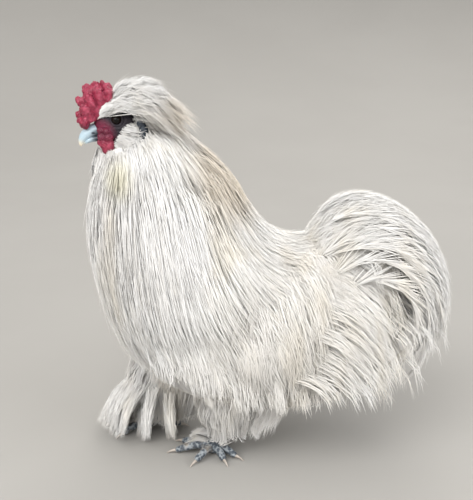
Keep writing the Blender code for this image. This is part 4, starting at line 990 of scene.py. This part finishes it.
def claws(finish):
    """Curved cones: path(s) = toe's end + 10.8 mm s along it + 1.3 mm sin(pi s) up, falling to the floor.

    Their radius is 1.9 mm (1 - 0.92 s)^0.7.
    """
    parts, nodes = [], []
    for side, name in SIDES:
        for key, end in TOE_ENDS[side].items():
            toe = toe_path(side, end, 9)
            level = unit((toe[-1] - toe[-2]) * (1, 1, 0))
            s = np.linspace(0, 1, 14)
            path = toe[-1] + level * (0.0108 * s[:, None] - 0.0022)
            path[:, 2] = toe[-1][2] + 0.0013 * np.sin(math.pi * s) - (toe[-1][2] - 0.0004) * s
            size = 0.0019 * (1 - 0.92 * s) ** 0.7
            parts.append(carried(path, size * 0.85, size, 12))
            nodes.append(f"claw_{key}_{name}")
    return settle(joined("claws", parts, finish), "claw_horn", *nodes)


def along_shell(p, q, along_p, along_q):
    """Straight down the shell from its top."""
    return along_p


def from_belly(v):
    """Degrees round the body from the throat or belly, the same on both sides."""
    return np.degrees(np.abs(np.mod(v + math.pi, FULL_TURN) - math.pi))


def cape(p, q, along_p, along_q):
    """The hackle runs down the nape, and hangs at the sides."""
    hang = np.interp(from_belly(q), (0, 50, 115, 165), (0.15, 0.50, 0.55, 0.0))
    hang = (hang * np.interp(p, (0.0, 1.2), (0.3, 1.0)))[:, None]
    return along_p * (1 - hang) + np.array([0, 0, -1.0]) * hang


def hanging(p, q, along_p, along_q):
    """Feathers run back along the bird by the shoulders and hang more and more behind them."""
    hang = np.interp(p, (3.2, 5.5), (0.55, 0.90))[:, None]
    back = np.interp(p, (6.8, 8.0), (0.34, 0.04))
    slow = np.interp(p, (6.8, 8.0), (1.0, 0.2))[:, None]
    return along_p * (1 - hang) * slow + vectors(back, 0.0, -1.0) * hang


def plumb(p, q, along_p, along_q):
    """Down, and a little to the rear."""
    return np.array([0.10, 0, -1.0]) + 0 * along_p


def arching(p, q, along_p, along_q):
    """Round the tail's middle, over its top and down behind, and a little down all along."""
    place = tail_shell(p, q, 0.9) - TAIL_MIDDLE
    return unit(vectors(place[:, 2], 0.0, -place[:, 0])) + np.array([0, 0, -0.22])


def rising(top, knee, first=0.12):
    """A height over the shell that eases from first to top within the knee's share of the length."""
    return lambda s: first + (top - first) * ease(s / knee)


def coat_pieces(name, strands, finish, areas, nodes=()):
    """Splits a coat round the bird in equal turns, the first centred on the belly, and makes a piece of each.

    What strays past the bird's widest is drawn in to a third of its way. The first piece covers the nodes.
    """
    across = strands["points"][..., 1]
    widest = np.abs(CAD_BOX[0][1])
    drawn_in = widest + 0.33 * (np.abs(across) - widest).clip(0)
    strands["points"][..., 1] = np.sign(across) * np.minimum(np.abs(across), drawn_in)
    turn = np.mod(strands["root"][:, 1] + 0.5 / len(areas), 1.0) * len(areas)
    for n, area in enumerate(areas):
        piece = strand_piece(f"{name}_{area}", chosen(strands, turn.astype(int) == n), finish)
        settle(piece, "loose_plumage", *(nodes if n == 0 else ()))


def on_shell(t, a):
    """Where each feather is rooted: its place down a shell and its share of the turn round it."""
    return np.stack([t, a / FULL_TURN], -1)


def neck_plumage(sizes):
    """The hackle, and shorter feathers that start on the neck's upper end, round the throat and the nape."""
    coat = Coat(101, sizes, 3)
    draw = coat.draw
    for count, last_u, each, long in ((920, 3.5, 18, 1.0), (320, 0.12, 12, 0.62)):
        u, v = coat.scatter(body_shell, (0.0, 0.0), (last_u, FULL_TURN), count)
        top = 1.0 - 0.26 * draw.random(len(u)) ** 2.0
        first = np.where(u < 0.4, draw.uniform(0.1, 0.9, len(u)), 0.25)
        length = sizes.hackle * long * np.interp(u, (0, 1.5, 3.5), (0.70, 1.0, 0.90))
        length = length * draw.uniform(0.8, 1.1, len(u))
        feathers = flow(body_shell, u, v, cape, length, rising(np.maximum(top, first), 0.30, first))
        coat.locks(feathers, on_shell(u / BODY_STATIONS, v), each, 0.0072, 0.0022, 0.53,
                   close=0.10, fray=0.028, slip=0.3)
    return off_the_ear(coat.strands(), draw)


def body_plumage(sizes):
    """Breast, belly and sides, the saddle's long feathers that hang from the back over the wings, and on each
    side the feathers that hang from the belly and those that stream from the rump."""
    coat = Coat(102, sizes, 3)
    draw = coat.draw
    u, v = coat.scatter(body_shell, (3.2, 0.0), (8.95, FULL_TURN), 1000)
    top = 0.97 - 0.26 * draw.random(len(u)) ** 2.0
    top = np.minimum(top, np.interp(u, (4.2, 5.2), (0.74, 0.97)))
    length = sizes.flank * np.interp(from_belly(v), (0, 60, 90, 140), (0.72, 0.95, 1.15, 0.9))
    length = length * draw.uniform(0.7, 1.15, len(u))
    feathers = flow(body_shell, u, v, hanging, length, rising(top, 0.35, 0.2))
    coat.locks(feathers, on_shell(u / BODY_STATIONS, v), 17, 0.0074, 0.0022, 0.53,
               close=0.10, fray=0.04, slip=0.25)
    u, v = coat.scatter(body_shell, (4.7, math.radians(92)), (8.9, math.radians(268)), 365)
    top = 0.98 - 0.15 * draw.random(len(u)) ** 1.5
    feathers = flow(body_shell, u, v, plumb, sizes.saddle * draw.uniform(0.7, 1.1, len(u)), rising(top, 0.35))
    coat.locks(feathers, on_shell(u / BODY_STATIONS, v), 16, 0.0060, 0.0022, 0.52,
               close=0.25, fray=0.030, slip=0.3)
    for side, _ in SIDES:
        count = share(130)
        u, v = draw.uniform(4.2, 8.6, count), side * np.radians(draw.uniform(48, 80, count))
        root = body_shell(u, v, 0.82)
        low = np.interp(root[:, 0], (-0.09, -0.04, 0.0, 0.03, 0.09), (0.098, 0.080, 0.062, 0.060, 0.062))
        long = np.clip(root[:, 2] - low + draw.uniform(-0.020, 0.010, count), 0.018, 0.060)
        feathers = bent(root, (0.30, side * 0.12, -1.0), (0.15, -side * 0.25, -1.0), long, (-0.1, side, 0.25))
        coat.locks(feathers, on_shell(u / BODY_STATIONS, v), 14, 0.0060, 0.0026, 0.46,
                   close=0.55, fray=0.07, slip=0.3)
        u, v = draw.uniform(7.2, 8.95, count), side * np.radians(draw.uniform(70, 150, count))
        feathers = bent(body_shell(u, v, 0.85), (0.75, side * 0.25, -0.10), (0.30, -side * 0.30, -1.0),
                        draw.uniform(0.045, 0.080, count), (0.2, side, 0.3))
        coat.locks(feathers, on_shell(u / BODY_STATIONS, v), 13, 0.0060, 0.0026, 0.5,
                   close=0.45, fray=0.04, slip=0.3)
    return coat.strands()


def tail_plumage(sizes):
    """Tiers of long silky plumes that arch over the tail, a cushion at their front, and down below."""
    coat = Coat(103, sizes, 2)
    draw = coat.draw
    for count, widest, low, long, top in TAIL_TIERS:
        a = np.radians(np.linspace(-widest, widest, count) + draw.uniform(-4, 4, count))
        t = low * np.interp(np.abs(a), (0, 1), (0.3, 1.0)) + draw.uniform(0, 0.05, count)
        lines, outward = flow(tail_shell, t, a, arching, long * draw.uniform(0.86, 1.06, count),
                              rising(top, 0.12, top * 0.75), 16)
        curl = np.linspace(0, 1, 17)[None, :, None] ** 6 * draw.uniform(-0.014, 0.008, (count, 1, 1))
        plumes = (lines + curl * outward, outward)
        coat.barbs(plumes, on_shell(t, a), share(130), sizes.barb, 0.5, 0.24, 0.10)
        coat.barbs(plumes, on_shell(t, a), 24, sizes.barb * 0.8, 0.8, 0.03, 0.0)
    t, a = coat.scatter(tail_shell, (0.0, 0.0), (0.34, FULL_TURN), 348, 0.7)
    root = tail_shell(t, a, 0.50)
    across = root[:, 1] / 0.050
    feathers = bent(root, vectors(0.25, 0.55 * across, 1.0), vectors(1.0, 0.20 * across, -0.15),
                    draw.uniform(0.028, 0.050, len(t)), vectors(-0.3, across, 0.5))
    coat.locks(feathers, on_shell(t, a), 15, 0.0050, 0.002, 0.45, close=0.2, fray=0.045, slip=0.3)
    for first, last, count, h, long in ((0.30, 0.86, 350, 0.82, 0.078), (0.20, 0.85, 130, 0.40, 0.080)):
        t, a = coat.scatter(tail_shell, (first, math.radians(25)), (last, math.radians(335)), count, h)
        out = unit(tail_shell(t, a, 1.0) - tail_shell(t, a, 0.2))
        feathers = bent(tail_shell(t, a, h), out * 0.4 + (0.30, 0, 0.05), out * 0.10 + (-0.10, 0, -1.0),
                        long * draw.uniform(0.6, 1.0, len(t)), out * (0.6, 1, 0) + (0, 0, 0.2))
        coat.locks(feathers, on_shell(t, a), 14, 0.0060, 0.0026, 0.53, close=0.4, fray=0.05, slip=0.3)
    return within_the_tail(coat.strands())


def within_the_tail(strands):
    """Keeps the strands inside the tail's ellipsoid, a quarter wider at its foot, before its rear edge."""
    centre, tall, long, wide = TAIL_OUTER
    from_middle = strands["points"] - np.array(centre)
    up, back = leaning(TAIL_LEAN)
    reach = np.hypot(np.hypot(from_middle @ up / tall, from_middle @ back / long), from_middle[..., 1] / wide)
    z = strands["points"][..., 2]
    rear = np.interp(z, (0.036, 0.055, 0.081, 0.112, 0.150), (0.138, 0.166, 0.184, 0.203, 0.2115))
    inside = (reach < np.interp(z, (0.09, 0.13), (1.25, 1.03))) & (z > 0.035)
    return chosen(strands, (inside & (strands["points"][..., 0] < rear)).all(1))


def wing_plumage(side, sizes):
    """Two fans of soft quills from the shoulder: barbs with a few strands for the shaft."""
    coat = Coat(104, sizes, 3)
    for count, root0, root1, tip0, tip1, top, long in WING_FANS:
        f = np.linspace(0, 1, count)[:, None]
        root, tip = (np.array(a) + np.subtract(b, a) * f for a, b in ((root0, root1), (tip0, tip1)))
        s = np.linspace(0, 1, 10)[None, :]
        u = root[:, :1] + (tip[:, :1] - root[:, :1]) * s**1.15
        v = side * np.radians(root[:, 1:] + (tip[:, 1:] - root[:, 1:]) * s)
        h = top + 0.05 * np.sin(math.pi * s) + coat.draw.uniform(-0.02, 0.02, (count, 1))
        lines = body_shell(u, v, h)
        quills = (lines, unit(body_shell(u, v, h + 0.2) - lines))
        roots = on_shell(root[:, 0] / BODY_STATIONS, v[:, 0])
        coat.barbs(quills, roots, share(87), long, 0.5, 0.4, 0.25)
        coat.locks(quills, roots, 5, 0.0010, 0.0005, 0.7, close=0.8, fray=0.01, reach=(0.9, 1.0))
    return coat.strands()


def off_the_face(strands, crest):
    """Keeps the strands off the bare face: those of the crest above FACE_TOP, others behind FACE_BACK."""
    x, z = strands["points"][..., 0], strands["points"][..., 2]
    if crest:
        bare = (x < -0.090) & (z < np.interp(x, *FACE_TOP)) & (z > 0.296)
    else:
        bare = (x < np.interp(z, *FACE_BACK)) & (z > 0.2880)
    return chosen(strands, ~bare.any(1))


def off_the_ear(strands, draw):
    """Leaves 28 in a hundred of the strands that would cover an ear lobe."""
    place = strands["points"][:, 1:] - EAR_PLACE * (1, 0, 1)
    over = (np.hypot(place[..., 0] / 0.0060, place[..., 2] / 0.0125) < 1) & (np.abs(place[..., 1]) > 0.010)
    return chosen(strands, ~over.any(1) | (draw.random(len(over)) < 0.28))


def crest_plumage(sizes):
    """The crest over the crown, streamers over the nape, an upright tuft and a fringe on each brow."""
    coat = Coat(105, sizes, 2)
    draw = coat.draw
    t, a = coat.scatter(crest_shell, (0.02, math.radians(-125)), (0.62, math.radians(125)), 365, 0.2)
    top = 1.0 - 0.5 * draw.random(len(t)) ** 1.5
    length = sizes.crest * np.interp(t, (0, 0.6), (0.85, 1.1)) * draw.uniform(0.75, 1.15, len(t))
    feathers = flow(crest_shell, t, a, along_shell, length, rising(top, 0.5))
    coat.locks(feathers, on_shell(t, a), 22, 0.0034, 0.0014, 0.33, close=0.1, fray=0.09)
    t, a = coat.scatter(crest_shell, (0.30, math.radians(-95)), (0.80, math.radians(95)), 200, 0.6)
    root = crest_shell(t, a, 0.35)
    way = unit(crest_shell(t, a, 0.6) - root)
    last = vectors(0.55, 0.40 * np.sin(a), -1.0 - 0.15 * np.abs(np.sin(a)))
    feathers = bent(root, way + (0.9, 0, -0.05), last, sizes.crest * draw.uniform(0.7, 1.8, len(t)), way)
    coat.locks(feathers, on_shell(t, a), 16, 0.0036, 0.0016, 0.45, close=0.25, fray=0.045)
    count = share(61)
    turn = draw.uniform(-1, 1, count)
    root = vectors(draw.uniform(-0.112, -0.096, count), 0.010 * turn, 0.3325 - 0.003 * turn**2)
    first = vectors(draw.uniform(-0.25, 0.15, count), 0.5 * turn, 1.0)
    last = vectors(draw.uniform(0.3, 0.9, count), 0.7 * turn, draw.uniform(0.0, 0.5, count))
    feathers = bent(root, first, last, draw.uniform(0.013, 0.020, count), first)
    roots = np.stack([0.1 + 0.02 * turn, 0.5 + 0.02 * turn], -1)
    coat.locks(feathers, roots, 12, 0.0018, 0.0014, 0.38, close=0.2, fray=0.08)
    for side, _ in SIDES:
        count = share(174)
        x = draw.uniform(-0.1240, -0.0900, count)
        z = np.interp(x, *FACE_TOP) + draw.uniform(0.0006, 0.0075, count)
        left_over = 1 - ((x + 0.100) / 0.0290) ** 2 - ((z - 0.311) / 0.026) ** 2
        wide = 0.0138 * np.sqrt(np.clip(left_over, 0.02, 1))
        first = vectors(draw.uniform(0.1, 0.7, count), side * draw.uniform(0.3, 0.9, count), 0.75)
        last = vectors(1.0, side * 0.25, draw.uniform(-0.35, 0.2, count))
        length = sizes.crest * draw.uniform(0.40, 0.75, count)
        feathers = bent(vectors(x, side * wide, z), first, last, length, first * (0.2, 1, 0.6))
        roots = np.stack([0.02 - (x + 0.09), 0.5 + side * (z - 0.30) * 5], -1)
        coat.locks(feathers, roots, 13, 0.0016, 0.0012, 0.40, close=0.2, fray=0.06)
    return off_the_ear(off_the_face(coat.strands(), True), draw)


def cheek_plumage(sizes):
    """Muffs, a fringe that starts along the bare face's rear edge, and the beard below the bill."""
    coat = Coat(106, sizes, 2)
    draw = coat.draw
    t, a = coat.scatter(cheek_shell, (0.05, math.radians(55)), (0.85, math.radians(305)), 365, 0.4)
    top = 1.0 - 0.5 * draw.random(len(t)) ** 1.5
    length = sizes.cheek * draw.uniform(0.7, 1.2, len(t))
    feathers = flow(cheek_shell, t, a, along_shell, length, rising(top, 0.6))
    coat.locks(feathers, on_shell(t, a), 13, 0.0022, 0.0014, 0.32, close=0.1, fray=0.12)
    for side, _ in SIDES:
        count = share(200)
        z = draw.uniform(0.2850, 0.3215, count)
        x = np.interp(z, *FACE_BACK) + draw.uniform(0.0008, 0.0120, count)
        wide = 0.0142 - 0.0030 * ((z - 0.303) / 0.018) ** 2
        root = vectors(x, side * (wide + draw.uniform(-0.0010, 0.0010, count)), z)
        first = vectors(0.75, side * draw.uniform(0.25, 0.8, count), draw.uniform(-0.5, 0.25, count))
        last = vectors(0.55, side * 0.30, draw.uniform(-1.1, -0.5, count))
        feathers = bent(root, first, last, sizes.cheek * draw.uniform(0.5, 1.1, count), (-0.2, side, 0.2))
        roots = np.stack([0.3 + 0 * z, (z - 0.28) * 5], -1)
        coat.locks(feathers, roots, 18, 0.0016, 0.0012, 0.28, close=0.1, fray=0.12)
    coat.sets = [off_the_face(coat.strands(), False)]
    count = share(226)
    turn = draw.uniform(-1, 1, count)
    far = np.abs(turn)
    root = vectors(-0.1230 + 0.0160 * far, 0.0165 * turn, draw.uniform(0.2880, 0.2920, count))
    first = vectors(-0.28 + 0.1 * far, 0.6 * turn, draw.uniform(-0.9, -0.5, count))
    feathers = bent(root, first, vectors(-0.06, 0.20 * turn, -1.0), draw.uniform(0.020, 0.034, count),
                    vectors(-0.6 + 0.6 * far, turn + 0.3 * np.sign(turn), 0.5))
    roots = np.stack([0.6 + 0.02 * turn, 0.5 + 0.02 * turn], -1)
    coat.locks(feathers, roots, 14, 0.0024, 0.0018, 0.42, close=0.2, fray=0.05, slip=0.25)
    return off_the_ear(coat.strands(), draw)


def leg_down(coat, side, flank):
    """Short feathers from hip to ankle, whose lines stay clear of the floor."""
    draw = coat.draw
    shell = leg_shell(side)
    t, a = coat.scatter(shell, (0.0, 0.0), (0.95, FULL_TURN), 185 if side < 0 else 260)
    top = 1.0 - 0.45 * draw.random(len(t)) ** 1.5
    length = flank * draw.uniform(0.35, 0.95, len(t))
    lines, outward = flow(shell, t, a, along_shell, length, rising(top, 0.6))
    lowest = (0.017 if side < 0 else 0.008) + 0.006 * draw.random((len(t), 1))
    lines[..., 2] = np.maximum(lines[..., 2], lowest)
    coat.locks((lines, outward), on_shell(t, a), 15, 0.0060, 0.0026, 0.53, close=0.15, fray=0.05, slip=0.35)


def skirt(coat, side):
    """Fluff behind the leg that hangs to the edge in SKIRTS."""
    draw = coat.draw
    count = share(139)
    s = draw.uniform(0, 1, count)
    tip = rows_at(SKIRTS[side], s * (len(SKIRTS[side]) - 1))
    tip = tip + draw.uniform(-1, 1, (count, 3)) * (0.003, 0.009, 0.004)
    root = tip + np.array([0.010, -0.004 * side, 0.050])
    feathers = bent(root, (0.05, side * 0.4, -1.0), (-0.40, -side * 0.1, -1.0),
                    draw.uniform(0.048, 0.056, count), (0.3 if side < 0 else -0.5, -1.0, 0.1))
    roots = np.stack([s, 0.5 + 0.02 * s], -1)
    coat.locks(feathers, roots, 16, 0.0060, 0.0030, 0.50, close=0.3, fray=0.05, slip=0.3)


def boot(coat, side):
    """Two layers of feathers that leave the ankle as BOOTS says and bend to the floor."""
    ankle = np.array(ANKLE[side]) * (1, 1, 0) + (0, 0, 0.0120)
    degrees, long = np.transpose(BOOTS[side])
    turn = np.radians(degrees)
    way = vectors(-np.cos(turn), side * np.sin(turn), 0.0)
    roots = on_shell(0 * turn + 0.98, turn)
    for lift, part, count in ((0.25, 1.0, 110), (0.75, 0.85, 90)):
        root = ankle + way * 0.003 + (0, 0, 0.012 * (lift - 0.25))
        feathers = bent(root, way + (0, 0, lift), way + (0, 0, -0.35 - lift), long * part, (0, 0, 1.0))
        coat.locks(feathers, roots, share(count), 0.0042, 0.0026, 0.5, close=0.75, fray=0.03, slip=0.5)
        coat.barbs(feathers, roots, share(44), 0.010, 0.4, 0.45, 0.1)


def fringe(coat, side):
    """The long pointed feathers in FRINGES, spread to both sides of their own middle."""
    for count, x, y, z, ahead, outwards, down, length, last_down in FRINGES[side]:
        f = np.linspace(-1, 1, count)
        root = vectors(x, side * (y + 0.006 * f), z - 0.003 * f)
        first = vectors(ahead, side * outwards * f, down)
        last = vectors(ahead * 0.55 + 0.28 * np.abs(f), side * outwards * 1.2 * f, last_down)
        feathers = bent(root, first, last, length * (1 - 0.10 * np.abs(f)), (-0.5, -0.6, 0.6))
        roots = np.stack([0 * f + 0.6, 0.5 + 0.1 * f], -1)
        coat.locks(feathers, roots, share(130), 0.0060, 0.0040, 0.5, close=0.85, fray=0.030, slip=0.55)


def fluff_ball(coat):
    """A round tuft over the left foot's inner toes: ways in all directions, fewer below."""
    way = unit(coat.draw.normal(0, 1, (share(200), 3)) * (1, 1, 0.8) + (0, 0, 0.5))
    root = np.array([-0.0365, -0.0165, 0.0090]) + way * (0.0045, 0.0035, 0.0025)
    feathers = bent(root, way, way * 0.8 + (-0.45, 0, -0.40), coat.draw.uniform(0.007, 0.010, len(way)), way)
    roots = np.stack([0.7 + 0.1 * way[:, 0], 0.5 + 0.1 * way[:, 1]], -1)
    coat.locks(feathers, roots, 12, 0.0026, 0.0016, 0.36, close=0.1, fray=0.12)


def leg_plumage(side, sizes):
    """A leg's feathers, the skirt behind it, the boot, long pointed feathers and a round tuft on the left."""
    coat = Coat(107, sizes, 2)
    leg_down(coat, side, sizes.flank)
    skirt(coat, side)
    boot(coat, side)
    fringe(coat, side)
    if side < 0:
        fluff_ball(coat)
    strands = coat.strands()
    strands["points"][..., 2] = np.maximum(strands["points"][..., 2], 0.0006)
    return strands


def length_property(name, description, default):
    return bpy.props.FloatProperty(name=name, description=description, default=default, unit="LENGTH")


class SilkieSizes(bpy.types.PropertyGroup):
    """Lengths of the feathers and breadth of one strand."""

    hackle: length_property("Hackle", "Longest feathers of the neck", 0.088)
    flank: length_property("Flank", "Body feathers over the side", 0.054)
    saddle: length_property("Saddle", "Long feathers that hang from the back", 0.078)
    crest: length_property("Crest", "Feathers of the crest", 0.030)
    cheek: length_property("Cheek", "Short feathers of the muffs and beard", 0.015)
    barb: length_property("Barb", "Barbs of the tail's plumes", 0.038)
    strand: length_property("Strand", "Breadth of one strand", 0.00074)


def colour_property(name, description, default):
    return bpy.props.FloatVectorProperty(name=name, description=description, default=default, subtype="COLOR",
                                         size=3, min=0.0, max=1.0)


class SilkieColours(bpy.types.PropertyGroup):
    """Colours of the plumage, the bare skin and the horn."""

    plumage: colour_property("Plumage", "Clean white feathers", (0.962, 0.955, 0.942))
    cream: colour_property("Cream", "Warm streaks in the plumage", (0.91, 0.82, 0.66))
    straw: colour_property("Straw", "Sun-stained edge of the nape", (0.66, 0.50, 0.30))
    stain: colour_property("Stain", "Yellow patch under the cheek", (0.80, 0.74, 0.42))
    # Painted shade that darkens the roots of the strands, not the colour of the down.
    shadow: colour_property("Down", "Root ends, deep in the coat", (0.88, 0.87, 0.85))
    dust: colour_property("Dust", "Earth on the feet and lowest feathers", (0.42, 0.35, 0.27))
    face: colour_property("Face", "Slate skin round the eye", (0.022, 0.018, 0.025))
    face_pale: colour_property("Face folds", "Paler folds of the face", (0.052, 0.040, 0.054))
    lore: colour_property("Lores", "Dark mulberry skin by the bill", (0.150, 0.014, 0.042))
    comb: colour_property("Comb", "Mulberry red flesh", (0.29, 0.020, 0.056))
    # Painted highlight on the tops of the lobes.
    comb_highlight: colour_property("Comb, pale", "Lighter tops of the lobes", (0.52, 0.085, 0.150))
    # Painted shade in the furrows between the lobes.
    comb_furrow_shade: colour_property("Comb, dark", "Furrows between the lobes", (0.080, 0.006, 0.018))
    ear: colour_property("Ear", "Dark blue ear lobe", (0.026, 0.036, 0.050))
    bill: colour_property("Bill", "Blue-grey horn", (0.47, 0.61, 0.70))
    # Also used as the painted shade in the nostril pit.
    bill_root_and_nostril_shade: colour_property("Bill, root", "Dark root of the bill", (0.030, 0.040, 0.060))
    bill_tip: colour_property("Bill, tip", "Cream tip of the bill", (0.90, 0.82, 0.64))
    iris: colour_property("Iris", "Very dark brown", (0.010, 0.006, 0.005))
    foot: colour_property("Foot", "Slate scales", (0.070, 0.085, 0.105))
    foot_pale: colour_property("Foot, edges", "Paler edges of the scales", (0.40, 0.44, 0.47))
    claw: colour_property("Claw", "Pale horn", (0.48, 0.43, 0.38))
    claw_dark: colour_property("Claw, streaks", "Darker streaks", (0.28, 0.23, 0.20))


class SilkieOperator:
    """What the operators share: they can be undone, and read the two groups of settings."""

    bl_options = {"REGISTER", "UNDO"}

    @property
    def sizes(self):
        return bpy.context.scene.silkie_sizes

    @property
    def colours(self):
        return bpy.context.scene.silkie_colours

    def coat(self, name, strands, areas=("all",), nodes=()):
        coat_pieces(name, strands, plumage_finish(self.colours), areas, nodes)


class SILKIE_OT_skin(SilkieOperator, bpy.types.Operator):
    """One skin over neck, trunk, head and thighs, with the folds of the face"""

    bl_idname = "silkie.skin"
    bl_label = "Skin"

    def execute(self, context):
        body_skin(skin_finish(self.colours))
        return {"FINISHED"}


class SILKIE_OT_head(SilkieOperator, bpy.types.Operator):
    """Eyes, bill, comb, wattles and ear lobes"""

    bl_idname = "silkie.head"
    bl_label = "Eyes, bill and comb"

    def execute(self, context):
        eyeballs(eye_finish(self.colours))
        bill(bill_finish(self.colours))
        flesh = comb_finish(self.colours)
        comb(flesh)
        wattles(flesh)
        ear_lobes(ear_finish(self.colours))
        return {"FINISHED"}


class SILKIE_OT_feet(SilkieOperator, bpy.types.Operator):
    """Scaled feet and their claws"""

    bl_idname = "silkie.feet"
    bl_label = "Feet and claws"

    def execute(self, context):
        scales = foot_finish(self.colours)
        for side, name in SIDES:
            scaled_foot(side, name, scales)
        claws(claw_finish(self.colours))
        return {"FINISHED"}


class SILKIE_OT_neck_plumage(SilkieOperator, bpy.types.Operator):
    """The hackle, in loose, hair-like feathers"""

    bl_idname = "silkie.neck_plumage"
    bl_label = "Plumage of the neck"

    def execute(self, context):
        self.coat("hackle", neck_plumage(self.sizes), ("front", "right", "left"))
        return {"FINISHED"}


class SILKIE_OT_body_plumage(SilkieOperator, bpy.types.Operator):
    """Breast, sides, belly and saddle"""

    bl_idname = "silkie.body_plumage"
    bl_label = "Plumage of the body"

    def execute(self, context):
        self.coat("body_feathers", body_plumage(self.sizes), ("belly", "right", "back", "left"))
        return {"FINISHED"}


class SILKIE_OT_tail_plumage(SilkieOperator, bpy.types.Operator):
    """The tail's arching plumes and its cushion"""

    bl_idname = "silkie.tail_plumage"
    bl_label = "Plumage of the tail"

    def execute(self, context):
        self.coat("tail_plumes", tail_plumage(self.sizes), ("middle", "right", "left"), ("tail",))
        return {"FINISHED"}


class SILKIE_OT_head_plumage(SilkieOperator, bpy.types.Operator):
    """Crest, muffs and beard"""

    bl_idname = "silkie.head_plumage"
    bl_label = "Plumage of the head"

    def execute(self, context):
        self.coat("crest_feathers", crest_plumage(self.sizes), nodes=("crest",))
        self.coat("cheek_feathers", cheek_plumage(self.sizes), nodes=("muff_left", "muff_right"))
        return {"FINISHED"}


class SILKIE_OT_limb_plumage(SilkieOperator, bpy.types.Operator):
    """A wing and a leg's feathers on each side"""

    bl_idname = "silkie.limb_plumage"
    bl_label = "Plumage of wings and legs"

    def execute(self, context):
        for side, name in SIDES:
            self.coat("wing_feathers_" + name, wing_plumage(side, self.sizes), nodes=("wing_" + name,))
            self.coat("leg_feathers_" + name, leg_plumage(side, self.sizes))
        return {"FINISHED"}


def look_along(way):
    """Turns of a camera or lamp whose view runs along a way: tilt from straight down, then heading."""
    x, y, z = unit(np.array(way, float))
    return (math.acos(-z), 0.0, math.atan2(y, x) - math.pi / 2)


def area_light(name, place, target, size, power, colour):
    """A round lamp at a place, turned to its target."""
    lamp = bpy.data.lights.new(name, "AREA")
    lamp.shape, lamp.size, lamp.energy, lamp.color = "DISK", size, power, colour
    made = bpy.data.objects.new(name, lamp)
    bpy.context.scene.collection.objects.link(made)
    made.location = place
    made.rotation_euler = look_along(np.array(target) - np.array(place))


def backdrop():
    """A round floor that is flat to 0.6 m and then rises as a smooth bowl: 1.7 m ease((r - 0.6) / 3.9)^2."""
    ground = Recipe("pale floor", (0.36, 0.349, 0.331), 0.9)
    ground.tint(ground.between(ground.noise(3.0, 5.0), 0.35, 0.65, 0.0, 0.25), (0.40, 0.389, 0.37))
    columns = 96
    r = np.concatenate([[0.02], np.linspace(0.5, 5.0, 46)])[:, None]
    a = round_turn(columns)
    rings = vectors(r * np.cos(a), r * np.sin(a), 1.7 * ease((r - 0.6) / 3.9) ** 2)
    points = np.concatenate([rings.reshape(-1, 3), [[0, 0, 0]]])
    around = np.arange(columns)
    cap = np.stack([np.full(columns, len(points) - 1), around, (around + 1) % columns], -1)
    return mesh_piece("floor", points, [band_faces(len(r), columns)[:, ::-1], cap], ground.done())


class SILKIE_OT_stage(SilkieOperator, bpy.types.Operator):
    """Pale floor, soft studio light and the camera"""

    bl_idname = "silkie.stage"
    bl_label = "Floor, light and camera"

    def execute(self, context):
        scene = context.scene
        backdrop()
        area_light("key", (-1.1, -1.5, 1.7), (0, 0, 0.15), 2.4, 56, (1.0, 0.99, 0.97))
        area_light("fill", (1.6, -1.3, 0.9), (0, 0, 0.15), 2.4, 34, (0.97, 0.98, 1.0))
        area_light("back", (0.6, 1.5, 1.6), (0, 0, 0.2), 1.2, 14, (1.0, 0.98, 0.95))
        world = bpy.data.worlds.new("soft sky")
        world.use_nodes = True
        sky = world.node_tree.nodes["Background"].inputs
        sky["Color"].default_value = (1.0, 0.985, 0.96, 1.0)
        sky["Strength"].default_value = 0.86
        scene.world = world
        lens = bpy.data.cameras.new("camera")
        lens.lens, lens.sensor_width, lens.clip_start = 63.5, 36.0, 0.01
        camera = bpy.data.objects.new("camera", lens)
        scene.collection.objects.link(camera)
        camera.location = (-0.1099 - MID_LENGTH, -0.7823, 0.42)
        camera.rotation_euler = look_along((0.1337, 0.9514, -0.2773))
        scene.camera = camera
        scene.view_settings.view_transform = "Standard"
        return {"FINISHED"}


class SILKIE_PT_panel(bpy.types.Panel):
    """The sidebar's list of settings and pieces"""

    bl_label = "Silkie Rooster"
    bl_space_type = "VIEW_3D"
    bl_region_type = "UI"
    bl_category = "Silkie"

    def draw(self, context):
        for group in (context.scene.silkie_sizes, context.scene.silkie_colours):
            box = self.layout.box()
            for key in group.__annotations__:
                box.prop(group, key)
        for operator in OPERATORS:
            self.layout.operator(operator.bl_idname)


OPERATORS = (
    SILKIE_OT_skin, SILKIE_OT_head, SILKIE_OT_feet, SILKIE_OT_neck_plumage, SILKIE_OT_body_plumage,
    SILKIE_OT_tail_plumage, SILKIE_OT_head_plumage, SILKIE_OT_limb_plumage, SILKIE_OT_stage,
)
CLASSES = (SilkieSizes, SilkieColours, *OPERATORS, SILKIE_PT_panel)


def register():
    for made in CLASSES:
        bpy.utils.register_class(made)
    bpy.types.Scene.silkie_sizes = bpy.props.PointerProperty(type=SilkieSizes)
    bpy.types.Scene.silkie_colours = bpy.props.PointerProperty(type=SilkieColours)


def unregister():
    del bpy.types.Scene.silkie_colours
    del bpy.types.Scene.silkie_sizes
    for made in reversed(CLASSES):
        bpy.utils.unregister_class(made)


def main():
    register()
    bpy.ops.silkie.skin()
    bpy.ops.silkie.head()
    bpy.ops.silkie.feet()
    bpy.ops.silkie.neck_plumage()
    bpy.ops.silkie.body_plumage()
    bpy.ops.silkie.tail_plumage()
    bpy.ops.silkie.head_plumage()
    bpy.ops.silkie.limb_plumage()
    bpy.ops.silkie.stage()


if __name__ == "__main__":
    main()
